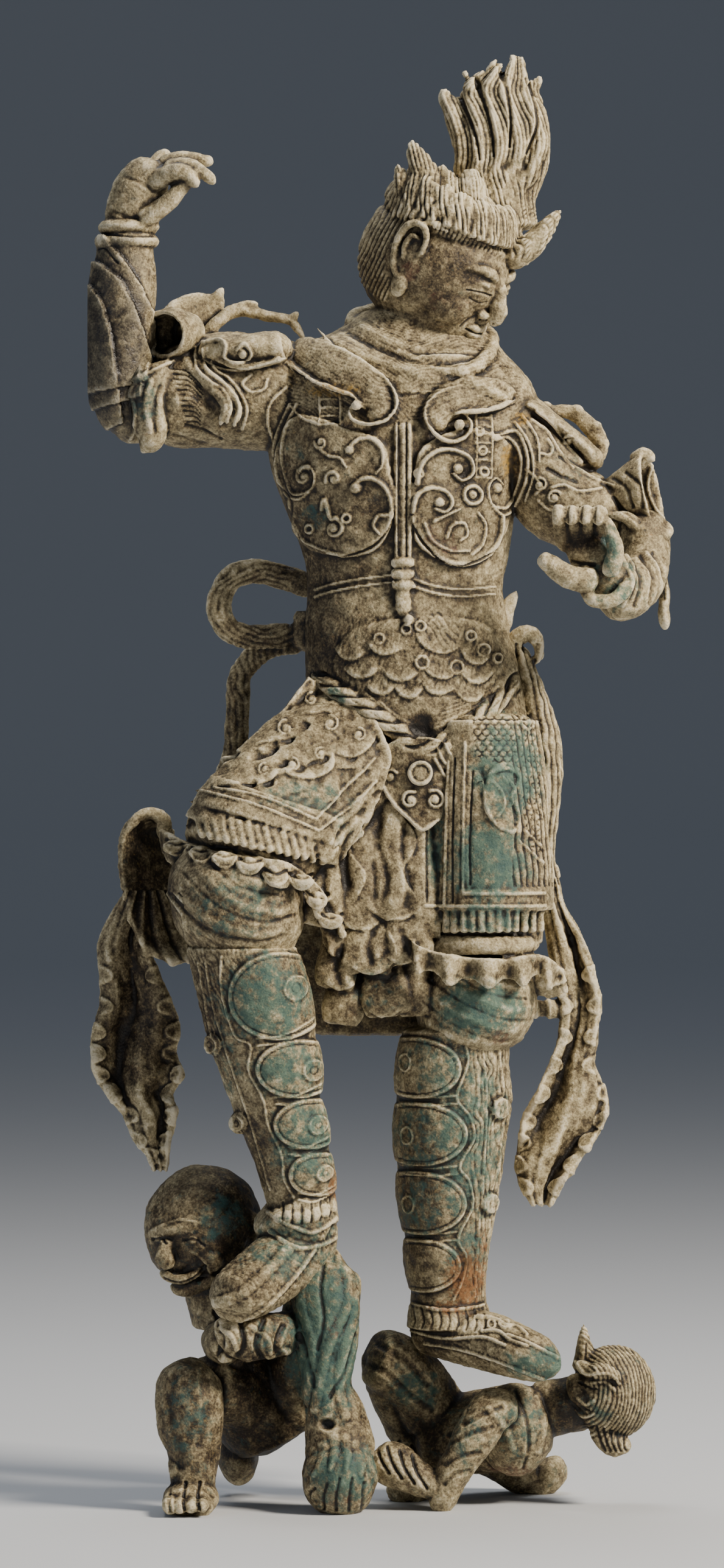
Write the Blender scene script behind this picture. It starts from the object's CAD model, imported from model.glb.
# The looks of a cast bronze guardian king who stands on two demons.
import math
import bmesh
import bpy
import numpy as np
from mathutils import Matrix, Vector


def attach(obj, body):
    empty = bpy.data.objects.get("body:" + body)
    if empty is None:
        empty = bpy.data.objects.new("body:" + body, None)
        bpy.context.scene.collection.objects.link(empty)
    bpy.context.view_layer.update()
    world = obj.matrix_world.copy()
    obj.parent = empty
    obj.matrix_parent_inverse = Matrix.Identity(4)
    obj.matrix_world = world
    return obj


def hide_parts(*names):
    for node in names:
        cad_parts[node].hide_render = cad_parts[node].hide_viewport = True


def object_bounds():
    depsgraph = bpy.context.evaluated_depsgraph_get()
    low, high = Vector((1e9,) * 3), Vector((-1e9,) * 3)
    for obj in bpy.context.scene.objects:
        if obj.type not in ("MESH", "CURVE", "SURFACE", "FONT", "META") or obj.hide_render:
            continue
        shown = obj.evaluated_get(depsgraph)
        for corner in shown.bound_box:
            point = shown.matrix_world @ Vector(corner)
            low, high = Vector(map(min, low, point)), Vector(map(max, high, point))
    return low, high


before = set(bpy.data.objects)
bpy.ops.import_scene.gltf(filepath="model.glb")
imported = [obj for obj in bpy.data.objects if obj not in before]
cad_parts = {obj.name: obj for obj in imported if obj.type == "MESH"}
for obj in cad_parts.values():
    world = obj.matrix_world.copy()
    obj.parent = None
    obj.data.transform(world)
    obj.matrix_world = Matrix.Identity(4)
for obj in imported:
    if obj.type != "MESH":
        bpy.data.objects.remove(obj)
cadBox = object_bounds()
print("frame loaded")

mm = 0.001
turn = 2 * math.pi
drawnToCad = np.array([-12.0323, 20.4400, 0.0])  # the forms are drawn in mm, this far from the CAD origin
work = {
    "detail": 1.0,  # 1 is the full fineness of the meshes, more is coarser
    "castSoftness": 2,                     # rounds of smoothing where forms join
    "lumps": [(0.40, 9, 21), (0.28, 4.2, 22), (0.24, 2.1, 23)],  # height and size in mm, and seed
    "seed": 11,
}


# Numbers and curves

def mix(a, b, share):
    return a + (b - a) * share


def step(low, high, value):
    share = np.clip((value - low) / (high - low), 0, 1)
    return share * share * (3 - 2 * share)


def unitOf(vectors):
    return vectors / np.maximum(np.linalg.norm(vectors, axis=-1, keepdims=True), 1e-9)


# A smooth line through points, as in the CAD: it gives the place and the direction at each share.
def smoothLine(points, closed=False):
    points = np.asarray(points, float)
    if closed:
        padded = np.vstack([points[-1:], points, points[:2]])
        spans = len(points)
    else:
        padded = np.vstack([2 * points[:1] - points[1:2], points, 2 * points[-1:] - points[-2:-1]])
        spans = len(points) - 1

    def at(share):
        along = np.clip(np.atleast_1d(np.asarray(share, float)), 0, 1) * spans
        i = np.minimum(along.astype(int), spans - 1)
        w = (along - i)[:, None]
        a, b, c, d = padded[i], padded[i + 1], padded[i + 2], padded[i + 3]
        bend, twist = 2 * a - 5 * b + 4 * c - d, 3 * b - a - 3 * c + d
        place = 0.5 * (2 * b + (c - a) * w + bend * w**2 + twist * w**3)
        way = 0.5 * ((c - a) + 2 * bend * w + 3 * twist * w**2)
        return place, way

    return at


# Forms, each a bmesh shape whose corners are moved to their places

def stock(sides, rings):
    shape = bmesh.new()
    bmesh.ops.create_uvsphere(shape, u_segments=sides, v_segments=rings, radius=1)
    return shape, np.array([v.co for v in shape.verts])


# Moves a shape's corners to their places and adds it to the form.
def put(form, shape, places):
    for vert, place in zip(shape.verts, places):
        vert.co = place
    addTo(form, shape)


def meshOf(name, shape):
    mesh = bpy.data.meshes.new(name)
    shape.to_mesh(mesh)
    shape.free()
    return mesh


def addTo(form, shape):
    carrier = meshOf("shape", shape)
    form.from_mesh(carrier)
    bpy.data.meshes.remove(carrier)


def objectOf(name, data):
    thing = bpy.data.objects.new(name, data)
    bpy.context.scene.collection.objects.link(thing)
    return thing


def aroundAxis(unit, blunt, squareness=2):
    radius = np.hypot(unit[:, 0], unit[:, 1])
    safe = np.maximum(radius, 1e-6)
    x, y = unit[:, 0] / safe, unit[:, 1] / safe
    section = np.maximum(np.abs(x)**squareness + np.abs(y)**squareness, 1e-6)**(-1 / squareness)
    reach = np.where(radius < 1e-6, 0, np.minimum(1, radius * blunt) * section)
    return (1 - unit[:, 2]) / 2, x * reach, y * reach


def shareSteps(stations):
    length = np.linalg.norm(np.diff(np.asarray(stations, float)[:, :3], axis=0), axis=1).sum()
    return int(np.clip(length / 2.5, 10, 70))


# A body along a line of [x, y, z, half width, half depth].
def limb(form, stations, blunt=1.5, depthAxis=(0, 1, 0), sides=20, rings=None):
    stations = [list(s) + [s[3]] * (5 - len(s)) for s in stations]
    shape, unit = stock(sides, rings or shareSteps(stations))
    along, x, y = aroundAxis(unit, blunt)
    place, way = smoothLine(stations)(along)
    centre, size, tangent = place[:, :3], place[:, 3:5], unitOf(way[:, :3])
    axis = np.asarray(depthAxis, float)
    deep = unitOf(axis - tangent * (tangent @ axis)[:, None])
    wide = np.cross(deep, tangent)
    put(form, shape, centre + wide * (x * size[:, 0])[:, None] + deep * (y * size[:, 1])[:, None])


def limbs(form, bodies, **options):
    for stations in bodies:
        limb(form, stations, **options)


def ball(form, centre, radii, sides=24, rings=16):
    shape, unit = stock(sides, rings)
    put(form, shape, np.asarray(centre) + unit * np.asarray(radii))


# A body of level sections from top to bottom, each [z, left, right, front, back].
def column(form, stations, blunt=1.3, squareness=2, sides=48, rings=None):
    stations = np.asarray(stations, float)
    shape, unit = stock(sides, rings or int(np.clip(np.ptp(stations[:, 0]) / 2.5, 12, 90)))
    along, x, y = aroundAxis(unit, blunt * 2, squareness)
    along = np.clip((along - 0.02) / 0.96, 0, 1)
    z, left, right, front, back = smoothLine(stations)(along)[0].T
    across = (left + right) / 2 + x * (right - left) / 2
    deep = (front + back) / 2 + y * (back - front) / 2
    put(form, shape, np.stack([across, deep, z], axis=1))


# How far forward a column stands at places seen from the front.
def frontOf(stations):
    sections = smoothLine(stations)(np.linspace(0, 1, 200))[0][::-1]

    def at(x, z):
        left, right, front, back = [np.interp(z, sections[:, 0], sections[:, k]) for k in range(1, 5)]
        aside = np.minimum(0.98, np.abs((x - (left + right) / 2) / ((right - left) / 2)))
        return (front + back) / 2 - (back - front) / 2 * (1 - aside**2)**0.5

    return at


# How far forward a limb stands at places seen from the front.
def frontOfLimb(stations):
    line = smoothLine(stations)(np.linspace(0, 1, 80))[0]

    def at(x, z):
        x, z = np.broadcast_arrays(np.asarray(x, float), np.asarray(z, float))
        away = np.hypot(line[:, 0] - x[..., None], line[:, 2] - z[..., None])
        best = away.argmin(axis=-1)
        aside = np.minimum(0.95, np.take_along_axis(away, best[..., None], -1)[..., 0] / line[best, 3])
        return line[best, 1] - line[best, 4] * np.sqrt(1 - aside**2)

    return at


# A sheet of even thickness: place gives the points at shares across and along.
def sheet(form, place, thickness, across, along):
    shape = bmesh.new()
    made = bmesh.ops.create_grid(shape, x_segments=across, y_segments=along, size=0.5)["verts"]
    grid = np.array([v.co for v in made])[:, :2] + 0.5
    u, v = np.clip(grid, 0, 1).T
    small = 1e-3
    over = place(np.clip(u + small, 0, 1), v) - place(np.clip(u - small, 0, 1), v)
    up = place(u, np.clip(v + small, 0, 1)) - place(u, np.clip(v - small, 0, 1))
    out = unitOf(np.cross(over, up))
    middle = place(u, v)
    copied = bmesh.ops.extrude_face_region(shape, geom=shape.faces[:], use_keep_orig=True)["geom"]
    order = {tuple(v.co): i for i, v in enumerate(made)}
    for vert in [g for g in copied if isinstance(g, bmesh.types.BMVert)]:
        i = order[tuple(vert.co)]
        vert.co = middle[i] + out[i] * thickness / 2
    for vert, place in zip(made, middle - out * thickness / 2):
        vert.co = place
    addTo(form, shape)


# A raised plate with an outline of [x, z] points on a surface.
def plate(form, outline, face, rise, sides=48, bulge=0.0, sunk=10):
    rim = smoothLine(outline, closed=True)
    middle = rim(np.linspace(0, 1, 60))[0].mean(axis=0)
    shape, unit = stock(sides, 12)
    radius = np.hypot(unit[:, 0], unit[:, 1])
    share = np.arctan2(unit[:, 1], unit[:, 0]) / turn % 1
    reach = np.minimum(1, radius * 1.12)
    spot = middle + (rim(share)[0] - middle) * reach[:, None]
    y = face(spot[:, 0], spot[:, 1])
    lift = rise + bulge * (1 - radius**2)
    put(form, shape, np.stack([spot[:, 0], y + np.where(unit[:, 2] >= 0, -lift, sunk), spot[:, 1]], axis=1))


def ringPoints(x, z, wide, tall=None, count=8):
    tall = wide if tall is None else tall
    angles = np.arange(count) / count * turn
    return [[x + wide * math.cos(a), z + tall * math.sin(a)] for a in angles]


# A flap between two edge lines of [x, z] points that lies on a surface and is rooted behind it.
def flap(form, leftEdge, rightEdge, face, lift, rooting=14):
    left, right = smoothLine(leftEdge), smoothLine(rightEdge)

    def place(u, v):
        spot = left(v)[0] + (right(v)[0] - left(v)[0]) * u[:, None]
        y = face(spot[:, 0], spot[:, 1]) - lift + rooting / 2
        return np.stack([spot[:, 0], y, spot[:, 1]], axis=1)

    sheet(form, place, rooting, 24, 24)


print("form tools ready")


# Head and hair

headCentre = np.array([47.0, -4.0, 794.0])
headForward = unitOf(np.array([0.775, -0.445, -0.454]))
headRight = unitOf(np.array([-0.5, -0.866, 0.0]))
headUp = unitOf(np.cross(headRight, headForward))
head = {
    "skull": (51, 48, 45),        # half sizes forward, up and to the side
    "frontLocks": 26,             # upright combed locks round the brow
    # hair that stands up like a flame, each point x, y, z, half width and half depth
    "flameBody": [
        [86, -6, 812, 27, 20], [86, -7, 835, 25, 17], [88, -8, 852, 29, 14], [90, -9, 868, 31, 13],
        [89, -9, 884, 30, 12], [87, -9, 897, 25, 11], [87, -9, 907, 17, 9], [88, -9, 914, 10, 6]],
    "flameTips": [
        [[70, -6, 854, 8, 9], [67, -7, 872, 10, 9], [62, -8, 886, 9, 8], [57, -8, 895, 6.5, 6],
         [50, -8, 903.5, 1.6, 1.4]],
        [[78, -10, 862, 8, 9], [76, -11, 882, 9, 9], [73, -11, 897, 7, 8], [70, -11, 906, 4, 5],
         [65.5, -11, 914.5, 1.4, 1.4]],
        [[86, -12, 872, 8, 9], [84, -12, 896, 9, 8], [84, -12, 909, 7.5, 6], [85, -12, 917, 4, 4],
         [86, -12, 922, 1, 1]],
        [[98, -9, 876, 9, 9], [96, -9, 900, 10, 8], [97, -9, 914, 7.5, 6], [98.5, -9, 921, 4.5, 4],
         [99.5, -9, 926, 2, 2]],
        [[112, -6, 868, 8, 9], [110, -6, 888, 8, 8], [108, -6, 901, 6, 5], [110.5, -6, 908, 3.4, 3],
         [114, -6, 911.5, 0.9, 0.9]],
        [[96, -14, 836, 8, 6], [106, -15, 852, 8, 6], [114, -14, 868, 6, 5], [115, -12, 884, 2, 3]]],
    # the flame's outline, which its strands follow: z, left and right
    "flameOutline": [[840, 60, 112], [850, 58, 117], [860, 59, 121], [870, 58, 123], [882, 55, 121],
                     [892, 51, 117], [902, 48, 113], [912, 60, 111], [922, 78, 106]],
    "looseTips": [
        [[31, -28, 812, 8], [28, -31, 830, 7], [25, -33, 845, 4.5], [22, -33, 854, 1.2]],
        [[44, -30, 820, 11], [41, -33, 842, 10], [35, -33, 858, 6.5], [31, -32, 869, 1.8]],
        [[58, -31, 824, 10], [55, -32, 838, 9], [52, -32, 848, 5], [50, -32, 853, 1.8]],
        [[70, -33, 826, 9], [69, -33, 842, 8], [66, -32, 851, 2]],
        [[88, -20, 792, 9], [103, -23, 800, 8.5], [113, -24, 809, 7], [121, -24, 819, 4.2],
         [126, -24, 825.5, 1.4]]],
    "combPitch": 2.3,             # mm between the combed grooves
    "combDepth": 0.9,
}


# A place on the head: forward, up and towards the figure's own right.
def onHead(forward, up, right):
    return list(headCentre + headForward * forward + headUp * up + headRight * right)


def headBall(form, forward, up, right, radii, sides=40, rings=28):
    shape, unit = stock(sides, rings)
    deep, tall, wide = radii
    put(form, shape, [onHead(forward + u[0] * deep, up + u[1] * tall, right + u[2] * wide) for u in unit])


# A limb on the head, each point forward, up, right, half width and half depth.
def headLimb(form, points, side=1, **options):
    limb(form, [onHead(f, u, r * side) + list(size) for f, u, r, *size in points], **options)


def headForms(form):
    limb(form, [[38, 2, 735, 36, 32], [42, 0, 760, 34, 32], [46, -4, 790, 34, 32]], sides=40)
    headBall(form, 0, 0, 0, head["skull"], 56, 40)
    headBall(form, 14, -20, 0, (35, 33, 33))
    headBall(form, 24, -33, 0, (24, 18, 21))
    headBall(form, 39, -45, 0, (10, 9, 12), 20, 14)
    for side in (1, -1):
        headBall(form, 27, -15, 15 * side, (19.5, 18, 19))
        headBall(form, 40.5, 0, 15 * side, (8, 7, 9), 24, 16)
        headLimb(form, [[48, 8, 4, 2.6, 3], [46.5, 12.5, 13, 3.6, 4.5], [39, 11.5, 24, 3, 4],
            [31, 6, 31, 1.5, 2]], side)
        headLimb(form, [[46, 0, 6, 1.0, 1.6], [48.5, 4.5, 13, 1.5, 2.0], [44, 4.5, 20, 1.5, 2],
            [38, -0.5, 25.5, 0.9, 1.4]], side, sides=12)
        headLimb(form, [[46, -1, 7, 0.9, 1.2], [47, -5.5, 14, 1.3, 1.8], [42.5, -4.5, 21, 1.2, 1.6],
            [38, -1, 25, 0.8, 1.2]], side, sides=12)
        headBall(form, 48, -14.5, 5.8 * side, (5.4, 3.4, 4), 20, 14)
        ear(form, side)
    headLimb(form, [[46, 10, 0, 3.6, 6], [51, -3, 0, 4, 7], [56.5, -11, 0, 5.2, 6.5],
        [51, -16.5, 0, 3.8, 6]], depthAxis=headForward)
    for up, middle, thick, wide in ((-24.5, -25.3, 2.6, 13), (-29.3, -28.5, 3.0, 11)):
        headLimb(form, [[42, -26.5, wide, 1.0, 2.5], [47, up, wide / 2, thick, 3.4],
            [48.2, middle, 0, thick * 0.9, 3.6], [47, up, -wide / 2, thick, 3.4],
            [42, -26.5, -wide, 1.0, 2.5]], sides=16)
    headBall(form, -3, 30, 0, (44.5, 25, 43.5))
    browLocks(form)
    flame(form)


# A long-lobed ear with a curled rim.
def ear(form, side):
    headLimb(form, [[9, -14, 42, 4], [-1, -9, 44, 2.6], [-6, 5, 46, 2.3], [-4, 19, 47, 2.4],
        [4, 25, 46.5, 2.4], [11, 20, 45, 2.2], [12, 9, 44, 1.8], [7, 4, 43.5, 1.6]], side, sides=14)
    headLimb(form, [[3, -2, 44.5, 2], [0, 8, 46, 1.8], [2, 16, 46.5, 1.8], [7, 16, 45.5, 1.6]], side,
        sides=12)
    headBall(form, 5, -16, 42 * side, (6, 9, 4), 20, 14)
    headBall(form, 4, 4, 41.5 * side, (10, 20, 4), 24, 16)


# Upright hair round the brow: a combed band with a few loose tips at its back.
def browLocks(form):
    count = head["frontLocks"]
    for i in range(count):
        share = i / (count - 1)
        angle = mix(-0.66, 0.42, share) * math.pi
        deep, wide = math.cos(angle), -math.sin(angle)
        low = 18 + 13 * math.sin(share * math.pi)
        high = 51 + 2.2 * math.sin(i * 2.4)
        headLimb(form, [[42 * deep, low, 41 * wide, 5, 2], [42.5 * deep, 30, 41 * wide, 5.6, 3.6],
            [39 * deep - 3, 44, 38 * wide, 5.6, 4.5], [35 * deep - 7, high, 35 * wide, 4, 4]],
            sides=12, depthAxis=(deep, 0, wide))
    for points in head["looseTips"]:
        limb(form, points, sides=18)


def flame(form):
    limb(form, head["flameBody"], sides=48, blunt=3)
    for points in head["flameTips"]:
        limb(form, points, sides=20)


# Trunk, armour and collar

torsoStations = [[766, 4, 70, -24, 34], [750, -18, 80, -32, 38], [736, -52, 92, -40, 42],
    [714, -64, 110, -52, 47], [690, -62, 112, -58, 49], [662, -58, 103, -58, 47], [636, -49, 98, -55, 44],
    [608, -38, 94, -49, 40], [586, -35, 90, -46, 38], [560, -36, 94, -49, 41], [530, -36, 101, -52, 45],
    [500, -34, 106, -52, 47], [466, -28, 106, -46, 46]]
torsoFront = frontOf(torsoStations)
trunk = {
    "plateRise": 3.2,      # mm that the breastplates stand out
    "lineWidth": 3.6,      # raised scrolls
    "lineRise": 1.45,
}
ropeLine = [[-32, 530], [-16, 519], [2, 508], [20, 495], [40, 485], [60, 491], [80, 506], [100, 526]]
rightPlate = [[18, 655], [12, 676], [-8, 684], [-40, 694], [-54, 676], [-55, 655], [-44, 640], [-44, 622],
    [-30, 608], [-8, 606], [12, 616], [20, 636]]
leftPlate = [[96, 640], [100, 664], [88, 680], [62, 684], [38, 672], [33, 650], [33, 626], [44, 608],
    [62, 600], [82, 608], [92, 622]]
maskOutline = [[92, 540], [80, 560], [50, 566], [20, 564], [-8, 556], [-18, 534], [0, 516], [22, 500],
    [40, 488], [58, 500], [76, 516]]
plaqueOutline = [[62, 466], [58, 484], [36, 490], [14, 484], [10, 466], [18, 450], [28, 438], [38, 431],
    [49, 438], [59, 450]]


collar = {  # [x, z, half width, half depth] along the lapels, and [x, z] along their rims
    "lapels": [[[-41, 744, 9, 5], [-30, 731, 13, 5], [-12, 719, 15, 5], [7, 707, 13, 5], [12, 696, 9, 5],
                [3, 692, 6, 4]],
               [[98, 709, 6, 4], [80, 708, 10, 5], [58, 703, 12, 5], [46, 693, 9, 5], [52, 684, 7, 4]]],
    "rims": [[[-52, 744], [-49, 732], [-33, 717], [-20, 711], [-8, 706], [-3, 703]],
             [[-30, 753], [-15, 734], [0, 725], [14, 717], [21, 706], [21, 697], [14, 689], [3, 687],
              [-7, 691], [-8, 699]],
             [[98, 704], [81, 697], [66, 695], [57, 694]],
             [[84, 718], [68, 713], [52, 709], [41, 700], [40, 690], [47, 680], [57, 676], [66, 680],
              [69, 688], [64, 694]]],
}


# The cowl round the neck and two broad lapels with rolled rims.
def collarForms(form):
    limb(form, [[72, 32, 756, 4], [38, 42, 768, 5], [6, 30, 765, 5], [-6, 6, 757, 5], [6, -24, 741, 5],
        [26, -40, 730, 5], [48, -47, 722, 5], [68, -43, 723, 5], [80, -22, 733, 5], [82, 8, 748, 5],
        [70, 34, 757, 4]], blunt=3)
    column(form, [[733, 0, 84, -44, 46], [722, -16, 92, -52, 48], [706, -36, 100, -56, 48]], sides=56)

    def onChest(points, lift):
        return [[x, torsoFront(x, z) - lift, z, width, depth] for x, z, width, depth in points]

    for points in collar["lapels"]:
        limb(form, onChest(points, 1), sides=28)
    for points in collar["rims"]:
        limb(form, onChest([[x, z, 1.3, 2.4] for x, z in points], 5.2), sides=12)
    ball(form, [-3.5, torsoFront(-4, 699) - 6, 699], [3.4, 3.4, 3.4], 20, 14)
    ball(form, [61.5, torsoFront(61, 687) - 5, 687], [3.4, 3.4, 3.6], 20, 14)


def trunkForms(form):
    column(form, torsoStations, sides=72)
    plate(form, rightPlate, torsoFront, trunk["plateRise"], 90, bulge=1.0)
    plate(form, leftPlate, torsoFront, trunk["plateRise"], 90, bulge=1.0)
    for px in (22, 26, 30):
        limb(form, [[px, torsoFront(px, z) - 1, z, 1.4, 2.4] for z in (688, 645, 596)], sides=12, blunt=4)
    limb(form, [[26, torsoFront(26, z) - 1, z, 5, 3.6] for z in (602, 584, 566)], sides=20)
    for z in (600, 593, 586):
        limb(form, [[19, torsoFront(26, z) - 1, z, 2.4], [26, torsoFront(26, z) - 4, z, 3.2], [33,
            torsoFront(26, z) - 1, z, 2.4]], sides=14, blunt=4)
    ball(form, [29.5, torsoFront(30, 564) - 2.5, 564], [3.6, 3.4, 3.6], 18, 12)
    limb(form, [[x, torsoFront(x, z) - 1, z, 6.2, 6.5] for x, z in ropeLine], sides=20)
    plate(form, maskOutline, torsoFront, 1.0, 80, bulge=1.0)

    def plaqueFace(x, z):
        return torsoFront(np.clip(x, 14, 60), np.maximum(468, z)) - 6

    plate(form, plaqueOutline, plaqueFace, trunk["plateRise"], 60)
    plate(form, ringPoints(37, 467, 7), lambda x, z: plaqueFace(x, z) - 3, 2.6, 24)
    collarForms(form)


# Raised right arm

rightForearmStations = [[816, -165, -132, -34, -4], [800, -167, -133, -35, -2], [780, -170, -131, -37, 2],
    [755, -171, -133, -38, 5], [725, -171, -137, -37, 7], [705, -170, -138, -34, 7],
    [690, -164, -138, -28, 4], [678, -152, -138, -20, -2]]


rightArm = {
    # the sleeve's open mouth at the elbow, from its root to its rim: x, y, z, half width, half depth
    "mouth": [[-108, -10, 748, 12, 12], [-114, -16, 748, 15, 14], [-120, -22, 747, 18, 17],
              [-127, -29, 746, 20, 15]],
    "leaf": [[-128, -2, 760, 9, 6], [-116, 3, 760, 12, 5], [-104, 7, 764, 12, 4], [-95, 9, 769, 8, 3.4],
             [-90, 9, 776, 2.5, 2.5]],
    # edges of the overlapping leaves of the forearm guard, and how far each stands out
    "petals": [[[-172, 812], [-163, 808], [-150, 791], [-140, 775], [-134, 760], [-132, 740], [-136, 716]],
               [[-172, 794], [-165, 791], [-153, 780], [-146, 765], [-141, 748], [-137, 730], [-140, 706]],
               [[-174, 780], [-168, 777], [-162, 766], [-158, 748], [-156, 728], [-154, 706], [-152, 690]]],
    "petalStep": 2.2,
}


# A hollow cup of rings along a line: an outer wall that turns in at the rim and runs down inside.
def cup(form, stations, wall, depthAxis=(0, 1, 0), sides=36):
    stations = np.asarray([list(s) + [s[3]] * (5 - len(s)) for s in stations], float)
    outside = smoothLine(stations)(np.linspace(0, 1, 16))[0]
    inside = outside[::-1][:13].copy()
    inside[:, 3:] = np.maximum(inside[:, 3:] - wall, 0.5)
    rings = np.vstack([outside, inside])
    ways = unitOf(np.gradient(outside[:, :3], axis=0))
    ways = np.vstack([ways, ways[::-1][:13]])
    axis = np.asarray(depthAxis, float)
    shape, loops = bmesh.new(), []
    for ring, way in zip(rings, ways):
        deep = unitOf(axis - way * (way @ axis))
        wide = np.cross(deep, way)
        made = bmesh.ops.create_circle(shape, segments=sides, radius=1)["verts"]
        for vert in made:
            vert.co = ring[:3] + wide * vert.co.x * ring[3] + deep * vert.co.y * ring[4]
        loops.append(set(made))
    rims = [[e for e in shape.edges if e.verts[0] in made] for made in loops]
    for lower, upper in zip(rims, rims[1:]):
        bmesh.ops.bridge_loops(shape, edges=lower + upper)
    bmesh.ops.holes_fill(shape, edges=rims[0] + rims[-1], sides=0)
    addTo(form, shape)


def rightArmForms(form):
    limb(form, [[-34, 2, 706, 34, 36], [-62, 0, 710, 37, 36], [-92, -3, 712, 37, 35],
        [-120, -7, 706, 32, 31], [-144, -10, 700, 22, 24]], sides=48)
    limbs(form, [[[-116, -20, 740, 3], [-108, -33, 724, 3.6], [-94, -39, 711, 4], [-86, -40, 700, 4],
        [-90, -38, 687, 2.5]], [[-110, -24, 738, 2], [-100, -36, 723, 2.4], [-86, -40, 710, 2.6],
        [-78, -40, 698, 2.4], [-82, -38, 686, 1.6]], [[-102, -28, 740, 2], [-88, -38, 728, 2.2],
        [-70, -40, 725, 2.4], [-48, -44, 730, 2]]], sides=12)
    limb(form, [[-122, -30, 730, 4, 8], [-134, -32, 714, 10, 8], [-135, -32, 693, 11, 8],
        [-134, -28, 680, 9, 9], [-140, -22, 671, 3, 6]], sides=24)
    cup(form, rightArm["mouth"], 2.6, depthAxis=(0, 0, 1))
    limb(form, rightArm["leaf"], sides=36, depthAxis=(0, 1, 0))
    limbs(form, [[[-96, 9, 768, 5, 3], [-91, 9, 776, 3.2, 3.2], [-89, 9, 779, 1.5, 1.5]],
        [[-104, 0, 742, 5, 4], [-93, 2, 756, 4, 5], [-80, 4, 764, 4.5, 5], [-60, 4, 760, 3.5, 5],
        [-46, 2, 757, 3, 4], [-37, 0, 745, 3, 4]], [[-84, 4, 762, 4, 3], [-74, 4, 767, 3.4, 3],
        [-66, 4, 768, 1.6, 2]], [[-48, 2, 756, 3, 3], [-43, 2, 760, 2.6, 2.8], [-41, 2, 763, 1.5, 2]]],
        sides=18)
    limb(form, [[-44, -24, 738, 12, 22], [-70, -26, 736, 11, 19], [-92, -24, 735, 10.5, 16],
        [-102, -20, 736, 5, 9]], sides=32)


def rightForearmForms(form):
    column(form, rightForearmStations, sides=48)
    for z in (815, 806):
        column(form, [[z + 3.6, -166, -131, -35, -3], [z, -168.5, -129, -38, 0],
            [z - 3.6, -167, -131, -36, -2]], sides=40, rings=8)
    limb(form, [[-148, -20, 808, 15, 12], [-146, -21, 824, 17.5, 13], [-139, -24, 842, 17, 12],
        [-127, -26, 855, 10, 10]], sides=28)
    limbs(form, [[[-136, -14, 846, 6], [-130, -10, 858, 5.5], [-123, -10, 865, 3]], [[-130, -22, 852, 7],
        [-116, -25, 857, 6], [-104, -27, 857, 4.5], [-94, -28, 856, 3]], [[-126, -30, 850, 6],
        [-112, -34, 853, 5.5], [-102, -37, 849, 4.5], [-93, -38, 841, 3]], [[-136, -28, 840, 7],
        [-120, -38, 848, 6], [-110, -41, 846, 5], [-104, -41, 838, 3]], [[-142, -30, 818, 7],
        [-126, -35, 827, 6], [-115, -37, 838, 5], [-107, -37, 845, 3.5]]], sides=16, blunt=1.8)


# Folded left arm

def leftArmForms(form):
    limb(form, [[74, 2, 700, 30, 36], [104, -2, 674, 30, 34], [128, -8, 642, 29, 30],
        [152, -12, 634, 23, 25], [170, -16, 638, 16, 18]], sides=48)
    limb(form, [[98, -4, 706, 6, 24], [120, -6, 692, 6, 26], [140, -8, 676, 6, 24], [152, -8, 662, 8, 16]],
        sides=28)
    cup(form, [[156, -12, 637, 15, 14], [166, -14, 641, 18, 16], [176, -17, 644, 23, 19],
        [185, -20, 646, 27, 21]], 3)
    limbs(form, [[[156, -34, 631, 3], [168, -36, 629, 4], [180, -34, 620, 4.5], [192, -28, 619, 5],
        [193, -20, 628, 4]], [[174, -18, 664, 8, 5], [180, -22, 670, 5, 4], [186, -22, 666, 3, 3]],
        [[112, 2, 692, 5, 4], [123, 5, 699, 4, 4], [137, 6, 697, 5, 4], [149, 6, 686, 6, 4],
        [154, 4, 674, 4, 4], [146, 0, 662, 4, 4]]], sides=16)
    for x, z in ((118, 702), (138, 700), (150, 690), (155, 678)):
        ball(form, [x, 5, z], [4, 4, 3.4], 14, 10)
    sideways = (1, 0, 0)
    limbs(form, [[[176, -14, 634, 20, 18], [180, -26, 606, 18, 16], [173, -46, 586, 18, 16],
        [152, -70, 586, 15, 15]], [[180, -44, 592, 12, 10], [168, -54, 581, 17, 17],
        [152, -64, 576, 12, 14]]], depthAxis=sideways, sides=36)
    limb(form, [[166, -34, 606, 4, 8], [184, -30, 600, 5, 10], [192, -26, 584, 4, 9],
        [192, -26, 570, 3.5, 7], [193, -26, 558, 4, 4]], sides=20)
    limb(form, [[137, -76, 582, 3.5], [147, -80, 575, 4.5], [160, -78, 577, 4.5], [168, -70, 590, 4.5],
        [166, -58, 606, 3.5]], sides=16)
    limb(form, [[166, -56, 578, 14, 12], [152, -68, 594, 16, 11], [142, -68, 612, 15, 7],
        [138, -66, 624, 12, 6]], sides=28)
    for i in range(4):
        x = 124 + 8.5 * i
        limb(form, [[x + 4, -66, 606, 5], [x + 1, -72, 622, 5], [x, -79, 631, 4.8], [x - 1, -84, 629, 4.2],
            [x - 1, -84, 622, 3.6]], sides=16, blunt=1.8)
    limb(form, [[153, -82, 628, 4], [159, -84, 606, 5.5], [154, -82, 590, 6]], sides=16)
    limb(form, [[148, -76, 587, 9], [130, -82, 590, 7.5], [118, -85, 598, 6], [111, -86, 603, 4.5]],
        sides=16, blunt=1.8)


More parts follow.
